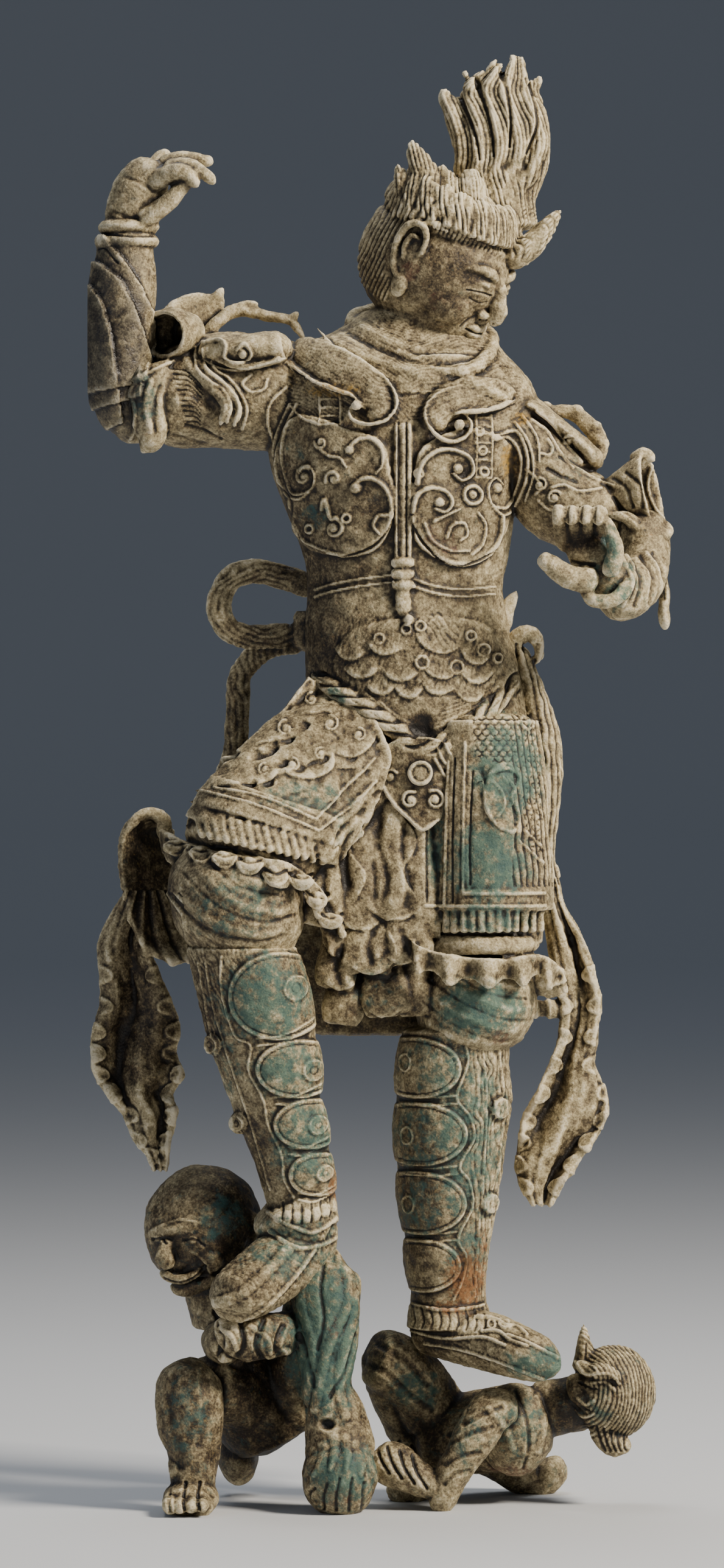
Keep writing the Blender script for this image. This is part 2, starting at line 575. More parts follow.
def scarfLoopForms(form):
    loop = [[-30, 14, 586], [-48, 16, 592], [-68, 16, 597], [-84, 14, 592], [-92, 12, 577], [-88, 10, 562],
        [-76, 10, 555], [-56, 10, 555], [-30, 12, 555]]
    limb(form, [p + [8.5, 3.5] for p in loop], blunt=3)
    tail = [[-38, 12, 552], [-62, 17, 547], [-78, 20, 530], [-80, 20, 505], [-82, 20, 480], [-88, 18, 456],
        [-76, 14, 428]]
    limb(form, [p + [8, 3.5] for p in tail], blunt=3)
    limb(form, [[-30, 12, 570, 14, 12], [-38, 12, 545, 10, 8]])


# Skirts, tassets and thighs

rightThighStations = [[12, -6, 482, 46, 46], [-30, -26, 458, 49, 46], [-62, -50, 430, 45, 42],
    [-80, -62, 398, 41, 38]]
leftThighStations = [[506, 34, 108, -52, 40], [450, 38, 115, -58, 40], [400, 40, 117, -62, 38],
    [356, 40, 115, -62, 36]]
rightThighFront = frontOfLimb(rightThighStations)
leftThighFront = frontOf(leftThighStations)
skirt = {
    "flapThickness": 6,
    "hemThickness": 4.0,
    "tasselPitch": 5.6,
    "tasselLength": 15,
    "hemCurls": [[-117, -62, 420, 9], [-101, -84, 416, 8], [-86, -97, 413, 8.5], [-70, -100, 409, 8.5],
                 [-54, -98, 402, 8], [-38, -90, 399, 7.5], [-28, -76, 387, 7], [-20, -66, 374, 7]],
    # folded ends of the cloth between the thighs: x, y, z, half width, half height and lean
    "drapes": [[20, -50, 408, 17, 34, 0.1], [-2, -50, 402, 15, 34, -0.1], [37, -49, 398, 12, 36, 0.05],
               [-23, -55, 396, 13, 26, -0.2], [28, -51, 366, 15, 20, 0.15], [5, -50, 360, 17, 21, -0.1],
               [-14, -46, 352, 13, 22, -0.2], [15, -46, 330, 16, 17, 0.2], [-10, -40, 326, 13, 19, -0.2],
               [33, -42, 332, 11, 19, 0.1]],
}


# A row of hanging tassels between two [x, z] places.
def fringe(form, start, end, lean, face, fall=0.0):
    count = int(round(math.dist(start, end) / skirt["tasselPitch"]))
    for i in range(count):
        share = (i + 0.5) / count
        x, z = mix(start[0], end[0], share), mix(start[1], end[1], share)
        points = []
        for drop in (-2, 4, 10, skirt["tasselLength"]):
            px, pz = x + lean * drop, z - drop
            points.append([px, face(px, pz) - 2.6 - fall * drop / 15, pz, 2.5, 3.0])
        limb(form, points, blunt=2.5, sides=10, rings=12)


# A rippled hem of [x, y, z] points whose ripples stand out and hang lower as they come forward.
def ruffle(form, points, height, ripples, depth):
    line = smoothLine(points)

    def place(u, v):
        point = line(u)[0].copy()
        wave = np.sin(u * ripples * turn)
        point[:, 1] -= depth * wave * (1.15 - v * 0.8)
        point[:, 0] += 2.2 * np.cos(u * ripples * turn) * (1 - v)
        point[:, 2] += (v - 0.5) * height - 3.2 * wave * (1 - v)
        return point

    sheet(form, place, skirt["hemThickness"], int(ripples * 26), 8)


def skirtForms(form):
    column(form, [[492, -34, 106, -40, 46], [450, -56, 112, -36, 52], [400, -78, 112, -20, 50],
        [350, -70, 108, 0, 46], [318, -44, 70, 8, 42], [298, -34, 34, 14, 38]], squareness=2.3, sides=56)
    limb(form, [[2, -22, 510, 28, 24], [6, -20, 474, 34, 27], [10, -18, 400, 34, 26],
        [10, -10, 340, 30, 24]], sides=40)

    for x, y, z, wide, tall, lean in skirt["drapes"]:
        limb(form, [[x - lean * tall, y + 8, z + tall * 1.3, wide * 0.9, 7],
            [x, y + 1, z + tall * 0.2, wide, 8],
            [x + lean * tall * 0.6, y - 2, z - tall * 0.6, wide * 1.05, 6],
            [x + lean * tall, y - 2, z - tall, wide * 0.85, 3]], blunt=3, sides=28)
    for x, y, z, wide in skirt["hemCurls"]:
        ball(form, [x, y, z], [wide, 5, 5.2], 24, 16)
    ruffle(form, [[-128, -30, 424], [-104, -78, 414], [-76, -98, 408], [-48, -94, 404], [-30, -70, 390],
        [-14, -58, 370]], 15, 4, 6)
    ruffle(form, [[-26, -52, 366], [-8, -52, 356], [12, -52, 360], [26, -54, 352]], 14, 2, 5)
    ruffle(form, [[24, -44, 372], [34, -62, 352], [58, -70, 344], [88, -66, 342], [112, -46, 344],
        [128, -24, 334]], 16, 6, 6)
    rightTassetForms(form)
    leftTassetForms(form)


def rightTassetForms(form):
    lift = skirt["flapThickness"]
    flap(form, [[-34, 528], [-58, 498], [-84, 474], [-102, 452], [-110, 438]], [[10, 498], [18, 476],
        [8, 450], [-6, 430], [-18, 412]], rightThighFront, lift)
    flap(form, [[-94, 463], [-106, 447]], [[-14, 440], [-22, 426]], rightThighFront, lift + 2)
    fringe(form, (-106, 442), (-26, 424), 0.25, lambda x, z: rightThighFront(x, z) - 2)


def leftTassetForms(form):
    lift = skirt["flapThickness"]
    flap(form, [[58, 500], [45, 470], [42, 420], [41, 380]], [[108, 500], [114, 470], [116, 420],
        [115, 380]], leftThighFront, lift)
    flap(form, [[64, 484], [56, 440], [54, 381]], [[67, 484], [65, 440], [64, 381]], leftThighFront,
        lift + 0.8)
    flap(form, [[64, 393], [64, 381]], [[115, 393], [115, 381]], leftThighFront, lift + 1.5)
    plate(form, [[112, 446], [112, 466], [98, 468], [92, 474], [80, 466], [78, 448], [84, 436], [98, 430]],
        lambda x, z: leftThighFront(x, z) - lift, 2.6, 60)
    fringe(form, (40, 381), (116, 381), 0, lambda x, z: leftThighFront(x, z) - 2)
    limb(form, [[x, leftThighFront(x, 362) - 1, 358, 6, 5] for x in (36, 50, 66, 82, 98, 112)],
        depthAxis=(0, 1, 0), sides=20)


# A flap of the back skirt that curls out beside the raised knee.
def backCurlForms(form):
    outer = smoothLine([[-130, 443], [-150, 434], [-155, 412], [-150, 382], [-142, 358], [-122, 345]])
    inner = smoothLine([[-122, 428], [-116, 420], [-84, 404], [-60, 380], [-56, 362], [-54, 350]])

    def place(u, v):
        spot = outer(v)[0] + (inner(v)[0] - outer(v)[0]) * u[:, None]
        return np.stack([spot[:, 0], -12 + 34 * np.sin(u * math.pi / 2), spot[:, 1]], axis=1)

    sheet(form, place, 5, 30, 30)
    limb(form, [[-118, 0, 420, 4], [-126, -4, 428, 5], [-128, -8, 438, 5], [-140, -12, 441, 3.5],
        [-152, -12, 428, 3]], sides=16)


# Legs and boots

rightGreaveStations = [[360, -112, -42, -98, -32], [340, -107, -37, -96, -30], [318, -102, -32, -92, -28],
    [298, -97, -29, -88, -28], [278, -90, -27, -84, -28], [258, -83, -26, -80, -28],
    [238, -75, -22, -77, -27], [218, -67, -20, -74, -26], [200, -62, -17, -70, -25],
    [180, -56, -14, -68, -22]]
leftGreaveStations = [[306, 26, 96, -56, 26], [284, 24, 94, -54, 28], [260, 22, 96, -52, 30],
    [230, 22, 92, -48, 28], [200, 24, 88, -45, 25], [165, 28, 82, -40, 21], [140, 31, 79, -36, 19],
    [116, 30, 80, -34, 20]]
rightGreaveFront = frontOf(rightGreaveStations)
leftGreaveFront = frontOf(leftGreaveStations)
legs = {
    # round plates of the greaves: x, z, half width and half height
    "plates": [[-52, 327, 31, 27], [-40, 281, 26, 18], [-33, 246, 22, 15.5], [-28, 214, 17.5, 13.5],
               [34, 280, 28, 19], [36, 238, 30, 20], [36, 194, 29.5, 20], [38, 154, 24, 17]],
    "plateRise": 1.5,
    "plateBulge": 1.8,
    # ringed bosses: x, z and radius
    "bosses": [(-44, 332, 6.5), (-33, 280, 5.6), (-30, 245, 4.8), (-26, 215, 4.2), (-96, 296, 4.6),
               (-79, 246, 4.2), (89, 254, 5.2), (83, 193, 5.0)],
}


def kneeForms(form):
    limb(form, rightThighStations, sides=48)
    column(form, [[420, -112, -48, -92, -24], [404, -121, -39, -102, -20], [386, -122, -37, -104, -18],
        [368, -116, -38, -102, -22], [354, -106, -44, -94, -30]], sides=64)
    column(form, leftThighStations, sides=48)
    column(form, [[348, 40, 104, -50, 26], [334, 34, 110, -60, 32], [316, 34, 111, -64, 34],
        [300, 38, 104, -60, 30], [290, 44, 92, -50, 22]], sides=64)


def legForms(form):
    column(form, rightGreaveStations, sides=60)
    column(form, leftGreaveStations, sides=60)
    for x, z, front in ((-94, 296, rightGreaveFront), (-78, 246, rightGreaveFront),
            (88, 254, leftGreaveFront), (82, 193, leftGreaveFront)):
        plate(form, ringPoints(x, z, 5.5, 7), front, 3.0, 24, bulge=1.2)
    limbs(form, [[[-18, -32, 178, 12, 16], [-34, -42, 172, 21, 21], [-55, -58, 154, 22, 22],
        [-75, -76, 141, 19, 22], [-91, -90, 133, 13, 16]], [[-52, -50, 200, 26, 24],
        [-40, -46, 186, 27, 26], [-26, -40, 176, 14, 22]], [[34, 2, 106, 11, 16], [50, -8, 110, 17, 22],
        [76, -24, 106, 19, 23], [102, -44, 99, 16.5, 21], [124, -60, 91, 12, 15]]], sides=40)
    column(form, [[128, 30, 80, -36, 20], [112, 28, 84, -42, 22]], sides=40, rings=10)


# Scarves

# A rippled length of scarf with scalloped edges. A station is [z, left, right, depth].
def hangingScarf(form, stations, waves, scallop):
    line = smoothLine(stations)

    def place(u, v):
        z, left, right, depth = line(v)[0].T
        wide = np.minimum(1, (right - left) / 40)
        wave = np.sin(u * waves * turn + v * 9) * scarf["ripple"] * wide
        edge = np.abs(u - 0.5) * 2
        wave = wave + scarf["edgeRipple"] * wide * edge**3 * np.sin(v * scallop * turn + u * 4)
        return np.stack([mix(left, right, u), depth + wave, z], axis=1)

    sheet(form, place, scarf["thickness"], 26, 110)


scarf = {"thickness": 4.6, "ripple": 5, "edgeRipple": 3.0}  # mm
leftScarfStations = [[396, -148, -138, 2], [378, -160, -138, 0], [358, -169, -137, -2],
    [338, -168, -130, -2], [318, -168, -122, -2], [302, -173, -117, -2], [288, -173, -119, -3],
    [274, -171, -114, -4], [262, -162, -121, -6], [248, -152, -118, -8], [232, -146, -122, -9],
    [222, -138, -124, -10], [213, -134, -125, -10]]
rightScarfStations = [[408, 113, 125, 10], [384, 116, 130, 10], [360, 119, 143, 10], [338, 122, 150, 10],
    [318, 127, 153, 10], [298, 126, 151, 10], [280, 120, 150, 8], [262, 112, 158, 6], [244, 103, 157, 4],
    [230, 100, 148, 2], [216, 97, 138, 0], [202, 101, 128, 0], [190, 108, 122, 0]]


def scarfForms(form):
    hangingScarf(form, leftScarfStations, 1.6, 7)
    hangingScarf(form, rightScarfStations, 1.5, 8)
    column(form, [[548, 96, 106, -6, 14], [520, 98, 118, -10, 18], [496, 104, 126, -12, 20],
        [470, 108, 129, -10, 20], [445, 110, 127, -6, 20], [420, 113, 124, 0, 18], [398, 114, 126, 4, 18]],
        sides=40)
    limbs(form, [[[96, 6, 316, 6], [114, 8, 316, 6], [132, 10, 315, 6]], [[108, -18, 340, 10, 10],
        [120, -12, 332, 9, 9], [129, -4, 326, 3, 4]], [[90, 4, 556, 5, 4], [93, 2, 572, 5, 4],
        [99, 2, 584, 2, 2]], [[92, 0, 540, 6], [100, -4, 554, 6], [109, -6, 556, 5], [113, -4, 546, 4],
        [112, 0, 537, 4]]])


# Demons

squatting = {
    "skull": ([-101, -12, 177], [38.5, 35, 39.5]),  # centre and half sizes
    "toes": 4,
    "lumps": (1.1, 12, 53),                         # mm high and wide, and seed
}
lying = {"skull": ([160.5, -18, 72.5], [27, 27, 30]), "hairPitch": 3.1, "hairDepth": 0.85,
    "lumps": (0.9, 13, 55)}


def squattingForms(form):
    ball(form, *squatting["skull"], 56, 40)
    limbs(form, [[[-121, -36, 172, 4], [-125, -41, 165, 5], [-124, -41, 158, 5.6], [-120, -38, 155, 3.5]],
        [[-136, -24, 173, 4], [-124, -37, 176, 5], [-110, -41, 178, 5.5], [-96, -40, 174, 3]],
        [[-128, -30, 150, 3], [-118, -37, 145, 3.4], [-106, -39, 149, 3.2], [-100, -38, 157, 2]],
        [[-122, -28, 141, 4], [-112, -32, 139, 5.5], [-100, -32, 143, 5], [-92, -32, 150, 3]],
        [[-104, -38, 168, 5], [-96, -38, 160, 8], [-92, -34, 152, 6]], [[-74, -28, 190, 4],
        [-68, -28, 178, 6], [-74, -28, 166, 4]]], sides=20)
    limb(form, [[-96, -6, 158, 22, 22], [-84, -4, 112, 24, 26]], sides=32)
    limb(form, [[-84, -6, 112, 16, 20], [-78, -2, 88, 23, 27], [-68, 6, 62, 30, 31], [-60, 10, 46, 29, 29],
        [-54, 12, 34, 20, 24]], sides=48)
    limbs(form, [[[-82, -16, 124, 14, 14], [-84, -22, 98, 14, 15], [-82, -14, 76, 12, 14]],
        [[-42, -34, 116, 12, 14], [-54, -52, 112, 14, 14], [-74, -66, 112, 15, 17],
        [-92, -74, 120, 8, 11]]], sides=28)
    limb(form, [[-88, -20, 104, 14, 14], [-88, -44, 106, 13, 13], [-84, -66, 110, 12, 12]], sides=28,
        depthAxis=(0, 0, 1))
    limb(form, [[-58, 8, 54, 22, 22], [-84, -16, 72, 23, 22], [-104, -36, 78, 20, 19]], sides=32,
        depthAxis=(0, 0, 1))
    limb(form, [[-106, -42, 97, 12, 12], [-109, -46, 80, 21, 20], [-109, -48, 60, 22, 20],
        [-107, -50, 38, 17, 17], [-107, -52, 18, 14, 15], [-107, -54, -10, 14, 15]], sides=36)
    limb(form, [[-106, -36, 9, 14, 12], [-108, -58, 9, 18, 12], [-110, -80, 6, 15, 9]], sides=28,
        depthAxis=(0, 0, 1))
    ball(form, [-80, 30, 26], [13, 24, 18], 28, 20)
    for i in range(squatting["toes"]):
        limb(form, [[-120 + 7 * i, -66, 10, 5], [-121 + 7 * i, -90, 6, 4]], sides=14, depthAxis=(0, 0, 1))
    limb(form, [[-52, 12, 46, 24, 24], [-40, -8, 88, 22, 22], [-26, -30, 138, 19, 20],
        [-22, -36, 150, 16, 18]], sides=36)
    limb(form, [[-19, -38, 166, 10, 10], [-23, -42, 150, 21, 19], [-23, -46, 126, 21.5, 20],
        [-22, -48, 100, 19, 18], [-22, -50, 78, 15.5, 17], [-17, -52, 60, 19, 18], [-14, -54, 38, 22, 20],
        [-14, -54, 14, 18, 20]], sides=40)
    ball(form, [-14, -56, 22], [24, 27, 26], 44, 30)


def lyingForms(form):
    limb(form, [[34, 24, 38, 24, 24], [62, 16, 42, 26, 28], [98, 4, 48, 27, 30], [120, -4, 56, 18, 20]],
        sides=40)
    ball(form, [98, -12, 48], [24.5, 26, 30], 44, 30)
    limb(form, [[108, -6, 58, 18, 16], [146, -12, 66, 18, 18]], sides=32)
    ball(form, *lying["skull"], 52, 36)
    limbs(form, [[[142, -18, 84, 9], [142, -21, 100, 6], [141, -22, 116, 1.5]], [[137, -28, 92, 5],
        [144, -38, 88, 5], [152, -44, 88, 5.5], [161, -44, 85, 3.5], [163, -42, 79, 2]], [[146, -24, 54, 6],
        [155, -27, 44, 8], [163, -28, 39, 8], [168, -26, 45, 5]], [[136, -24, 84, 6], [138, -30, 74, 7],
        [144, -34, 64, 5]]], sides=20)
    limb(form, [[96, -30, 60, 13, 14], [83, -42, 63, 14, 14], [72, -47, 48, 14, 14], [62, -48, 32, 12, 13],
        [54, -46, 16, 10, 12], [48, -44, -6, 9, 11]], sides=32)
    limb(form, [[56, -44, 12, 8, 12], [36, -42, 20, 11, 14], [20, -40, 28, 14, 15], [6, -38, 34, 11, 12]],
        sides=28)
    limb(form, [[52, 22, 44, 24, 24], [32, 8, 76, 22, 22], [14, -2, 92, 20, 20], [6, -6, 97, 12, 14]],
        sides=36)
    limb(form, [[12, 2, 92, 15, 18], [20, 14, 60, 12, 15], [32, 22, 32, 10, 12], [32, 22, 8, 12, 12]],
        sides=28)
    limb(form, [[36, 42, 8, 12, 12], [32, 20, 8, 14, 12], [26, -4, 6, 12, 9]], sides=28,
        depthAxis=(0, 0, 1))
    limb(form, [[60, 30, 40, 20, 20], [86, 44, 26, 16, 18], [112, 52, 8, 12, 14], [130, 46, 22, 10, 12]],
        sides=32)


print("forms ready")


# The skin: one closed mesh round a piece's forms, in mm, carved along its normals

frontView = {"spots": "co", "axes": (0, 2), "way": np.array([0, -1.0, 0])}
backView = {"spots": "co", "axes": (0, 2), "way": np.array([0, 1.0, 0])}
faceView = {"spots": "head", "axes": (2, 1), "way": headForward}


def applied(piece):
    deps = bpy.context.evaluated_depsgraph_get()
    mesh = bpy.data.meshes.new_from_object(piece.evaluated_get(deps))
    old = piece.data
    piece.modifiers.clear()
    piece.data = mesh
    bpy.data.meshes.remove(old)
    return mesh


def placesOf(mesh, what="co"):
    places = np.empty(len(mesh.vertices) * 3)
    mesh.vertices.foreach_get(what, places)
    return places.reshape(-1, 3)


def readSkin(mesh):
    count = len(mesh.vertices)
    edges = np.empty(len(mesh.edges) * 2, dtype=np.int64)
    mesh.edges.foreach_get("vertices", edges)
    skin = {"mesh": mesh, "co": placesOf(mesh), "ends": edges.reshape(-1, 2), "count": count}
    skin["links"] = np.maximum(np.bincount(edges, minlength=count), 1)
    refresh(skin)
    return skin


def refresh(skin):
    mesh = skin["mesh"]
    mesh.vertices.foreach_set("co", skin["co"].ravel())
    mesh.update()
    skin["normal"] = placesOf(mesh, "normal")


def neighbourMean(skin, values):
    a, b = skin["ends"].T
    total = np.bincount(a, values[b], skin["count"]) + np.bincount(b, values[a], skin["count"])
    return total / skin["links"]


def smoothed(skin, rounds, share):
    places = skin["co"].copy()
    for _ in range(rounds):
        for k in range(3):
            places[:, k] = mix(places[:, k], neighbourMean(skin, places[:, k]), share)
    return places


def soften(skin, rounds, share=0.5):
    skin["co"] = smoothed(skin, rounds, share)
    refresh(skin)


stains = ("verdigris", "rust", "gilt", "steel", "shade", "red")
skinLayers = ("hollowFine", "hollowBroad") + stains


def startCarving(skin):
    for name in ("bead", "groove", "swell") + stains:
        skin[name] = np.zeros(skin["count"])
    local = skin["co"] - headCentre
    skin["head"] = np.stack([local @ headForward, local @ headUp, local @ headRight], axis=1)


# Seeded value noise from -1 to 1 over cells of a size in mm.
def noiseAt(places, size, seed=0):
    cell = np.floor(places / size)
    part = places / size - cell
    part = part * part * (3 - 2 * part)
    cell = cell.astype(np.int64)
    total = np.zeros(len(places))
    for corner in range(8):
        offset = np.array([corner & 1, corner >> 1 & 1, corner >> 2 & 1])
        x, y, z = (cell + offset).T
        key = (x * 73856093) ^ (y * 19349663) ^ (z * 83492791) ^ ((seed + work["seed"]) * 2654435761)
        key = (key ^ (key >> 13)) * 1274126177 & 0x7FFFFFFF
        value = (key ^ (key >> 16) & 0xFFFF) % 10007 / 10007 * 2 - 1
        weight = np.prod(np.where(offset, part, 1 - part), axis=1)
        total += value * weight
    return total


anyDepth = (-1000, 1000)


# Which vertices lie in a range of y.
def within(skin, deep):
    return (skin["co"][:, 1] > deep[0]) & (skin["co"][:, 1] < deep[1])


# How far out a vertex lies from a place in a view: 1 on an oval round it.
def ovalReach(skin, x, z, wide, tall, view):
    spots = skin[view["spots"]][:, view["axes"]]
    return np.hypot((spots[:, 0] - x) / wide, (spots[:, 1] - z) / tall)


def facing(skin, view, low=0.1, high=0.45):
    return step(low, high, skin["normal"] @ view["way"])


# Vertices near a line in a view, their distance from it, their share along it and their side of it.
# A line is written x, z, x, z and so on. deep is the reach in y that it is carved on.
def nearLine(skin, points, reach, view=frontView, closed=False, deep=anyDepth):
    points = np.reshape(points, (-1, 2)).astype(float)
    length = np.linalg.norm(np.diff(points, axis=0), axis=1).sum()
    line = smoothLine(points, closed)(np.linspace(0, 1, int(np.clip(length / 1.2, 8, 160))))[0]
    spots = skin[view["spots"]][:, view["axes"]]
    low, high = line.min(axis=0) - reach, line.max(axis=0) + reach
    near = ((spots > low) & (spots < high)).all(axis=1) & (skin["normal"] @ view["way"] > 0.05)
    near = np.nonzero(near & within(skin, deep))[0]
    spots = spots[near]
    best = np.full(len(near), 1e9)
    share, side = np.zeros(len(near)), np.zeros(len(near))
    for k in range(len(line) - 1):
        way = line[k + 1] - line[k]
        offset = spots - line[k]
        t = np.clip(offset @ way / max(way @ way, 1e-9), 0, 1)
        away = np.hypot(*(offset - t[:, None] * way).T)
        closer = away < best
        best[closer] = away[closer]
        share[closer] = (k + t[closer]) / (len(line) - 1)
        side[closer] = np.sign(offset[closer, 0] * way[1] - offset[closer, 1] * way[0])
    return near, best, share, side


# A raised bead along a line. Below zero it is a groove.
def stroke(skin, points, width, rise, view=frontView, closed=False, deep=anyDepth, taper=0.0):
    near, away, share, _ = nearLine(skin, points, width, view, closed, deep)
    half = width / 2 * (1 - taper * share)
    profile = np.clip(1 - away / np.maximum(half, 0.2), 0, 1)
    profile = np.sin(profile * math.pi / 2)**0.8 * facing(skin, view)[near]
    key = "bead" if rise > 0 else "groove"
    skin[key][near] = np.maximum(skin[key][near], abs(rise) * profile)


# Layers that lie over one another: each is full height on its line and runs out behind it, to the
# right of the way the line is drawn. A negative reach puts it on the left.
def ledges(skin, lines, reach, rise, view=frontView, deep=anyDepth):
    for points in lines:
        near, away, share, side = nearLine(skin, points, abs(reach), view, False, deep)
        behind = np.clip(1 - away / abs(reach), 0, 1)**1.3
        before = np.clip(1 - away / 0.8, 0, 1)
        profile = np.where(side * np.sign(reach) > 0, behind, before) * facing(skin, view)[near]
        profile = profile * np.clip(7 * np.minimum(share, 1 - share), 0, 1)
        skin["bead"][near] = np.maximum(skin["bead"][near], rise * profile)


# Soft round folds of cloth along lines.
def folds(skin, lines, width, rise, view=frontView, deep=anyDepth):
    for points in lines:
        near, away, share, _ = nearLine(skin, points, width / 2, view, False, deep)
        profile = 0.5 + 0.5 * np.cos(np.clip(away / width * 2, 0, 1) * math.pi)
        fade = np.clip(5 * np.minimum(share, 1 - share), 0, 1)
        skin["swell"][near] += rise * profile * fade * facing(skin, view)[near]


# Strands twisted round a line.
def twist(skin, points, width, pitch, depth, view=frontView, deep=anyDepth):
    near, away, share, side = nearLine(skin, points, width / 2, view, False, deep)
    length = np.linalg.norm(np.diff(np.asarray(points, float), axis=0), axis=1).sum()
    wave = 0.5 + 0.5 * np.cos(turn * (share * length / pitch + side * away / width * 1.3))
    wave = wave**3 * step(width / 2, width / 2 - 1.5, away) * facing(skin, view)[near]
    skin["groove"][near] = np.maximum(skin["groove"][near], depth * wave)


# Folds that run the length of a scarf. A station is [z, left, right, ...].
def lengthFolds(skin, stations, count, depth, mask):
    x, _, z = skin["co"].T
    table = np.array([s[:3] for s in stations])[::-1]
    left, right = np.interp(z, table[:, 0], table[:, 1]), np.interp(z, table[:, 0], table[:, 2])
    share = (x - left) / (right - left)
    share = share + 0.05 * np.sin(z * 0.055) + 0.05 * noiseAt(skin["co"], 22, 71)
    wave = np.sin(share * count * turn) + 0.35 * np.sin(share * count * 2.3 * turn + 1)
    skin["swell"] += mask * depth * wave


def strokes(skin, lines, width, rise, **options):
    for points in lines:
        stroke(skin, points, width, rise, **options)


# A flat disc with a soft edge. Below zero it is sunk.
def disc(skin, x, z, wide, tall, rise, view=frontView, edge=0.25, deep=anyDepth):
    away = ovalReach(skin, x, z, wide, tall, view)
    profile = (1 - step(1 - edge, 1 + edge, away)) * facing(skin, view) * within(skin, deep)
    key = "bead" if rise > 0 else "groove"
    skin[key] = np.maximum(skin[key], abs(rise) * profile)


def dome(skin, x, z, wide, tall, rise, view=frontView):
    away = ovalReach(skin, x, z, wide, tall, view)
    lift = rise * np.sqrt(np.clip(1 - away**2, 0, 1)) * facing(skin, view)
    skin["bead"] = np.maximum(skin["bead"], lift)


def ring(skin, x, z, wide, tall, width, rise, view=frontView):
    stroke(skin, ringPoints(x, z, wide, tall, 12), width, rise, view, closed=True)


# A scroll that winds in to a round eye. hand is 1 anticlockwise or -1.
def scroll(skin, x, z, radius, start, hand=1, turns=1.2, width=2.8, rise=1.7, tail=None, view=frontView):
    shares = np.linspace(0, 1, 14)
    angles = math.radians(start) + hand * shares * turns * turn
    reach = radius * (1 - 0.72 * shares)
    points = np.stack([x + reach * np.cos(angles), z + reach * np.sin(angles)], axis=1)
    if tail is not None:
        points = np.vstack([np.asarray(tail, float), points])
    stroke(skin, points, width, rise, view, taper=0.35)
    dome(skin, x, z, radius * 0.3 + 0.8, radius * 0.3 + 0.8, rise * 1.15, view)


def inside(outline, x, z):
    hit = np.zeros(np.shape(x), dtype=bool)
    for (ax, az), (bx, bz) in zip(outline, outline[1:] + outline[:1]):
        hit ^= ((az > z) != (bz > z)) & (x < (bx - ax) * (z - az) / (bz - az + 1e-12) + ax)
    return hit


# Combed lines: coordinate runs across them in mm.
def comb(skin, coordinate, pitch, depth, mask, wobble=0.0, seed=3):
    phase = coordinate / pitch
    if wobble:
        phase = phase + wobble * noiseAt(skin["co"], 9, seed)
    wave = 0.5 + 0.5 * np.cos(phase * turn)
    skin["groove"] = np.maximum(skin["groove"], depth * wave**2 * mask)


# Soft patches of colour, seen from the front, each x, z, half width, half height and strength. A
# strength below zero takes away from the layer.
def patches(skin, name, spots, deep=anyDepth):
    for px, pz, wide, tall, strength in spots:
        away = ovalReach(skin, px, pz, wide, tall, frontView)
        amount = strength * (1 - step(0.35, 1.15, away)) * within(skin, deep)
        skin[name] = np.maximum(skin[name], amount) if strength > 0 else skin[name] + amount


def finishCarving(skin):
    co = skin["co"]
    lumps = sum(height * noiseAt(co, size, seed) for height, size, seed in work["lumps"])
    lift = skin["bead"] - skin["groove"] + skin["swell"] + lumps
    skin["co"] = co + skin["normal"] * lift[:, None]
    refresh(skin)
    soften(skin, 1, 0.25)
    # How far each place lies above or below its neighbourhood, near and wide.
    for name, rounds, scale in (("hollowFine", 3, 0.35), ("hollowBroad", 22, 1.1)):
        height = np.einsum("ij,ij->i", skin["co"] - smoothed(skin, rounds, 0.8), skin["normal"])
        skin[name] = np.clip(height / scale, -1, 1)


# Casts a piece: its forms run together, softened and carved, thinned, cut level and kept in the CAD's box.
def cast(name, makers, carve, voxel, mostFaces, onFloor):
    form = bmesh.new()
    for make in makers:
        make(form)
    piece = objectOf(name, meshOf(name, form))
    remesh = piece.modifiers.new("skin", "REMESH")
    remesh.mode = "VOXEL"
    remesh.voxel_size = voxel * work["detail"]
    skin = readSkin(applied(piece))
    soften(skin, work["castSoftness"])
    startCarving(skin)
    carve(skin)
    finishCarving(skin)
    mesh = skin["mesh"]
    skin["co"] = (skin["co"] + drawnToCad) * mm
    refresh(skin)
    for layer in skinLayers:
        values = mesh.attributes.new(layer, "FLOAT", "POINT")
        values.data.foreach_set("value", skin[layer].astype(np.float32))
    faces = len(mesh.polygons) * 2
    if faces > mostFaces:
        thin = piece.modifiers.new("thin", "DECIMATE")
        thin.ratio = mostFaces / faces
        mesh = applied(piece)
    if onFloor:
        flat = bmesh.new()
        flat.from_mesh(mesh)
        everything = flat.verts[:] + flat.edges[:] + flat.faces[:]
        bmesh.ops.bisect_plane(flat, geom=everything, plane_co=(0, 0, 0), plane_no=(0, 0, 1),
            clear_inner=True)
        bmesh.ops.holes_fill(flat, edges=[e for e in flat.edges if e.is_boundary], sides=0)
        bmesh.ops.triangulate(flat, faces=[f for f in flat.faces if len(f.verts) > 4])
        flat.to_mesh(mesh)
        flat.free()
    mesh.vertices.foreach_set("co", np.clip(placesOf(mesh), *cadBox).ravel())
    mesh.update()
    mesh.shade_smooth()
    return piece


# Carving, seen from the front as x, z in mm

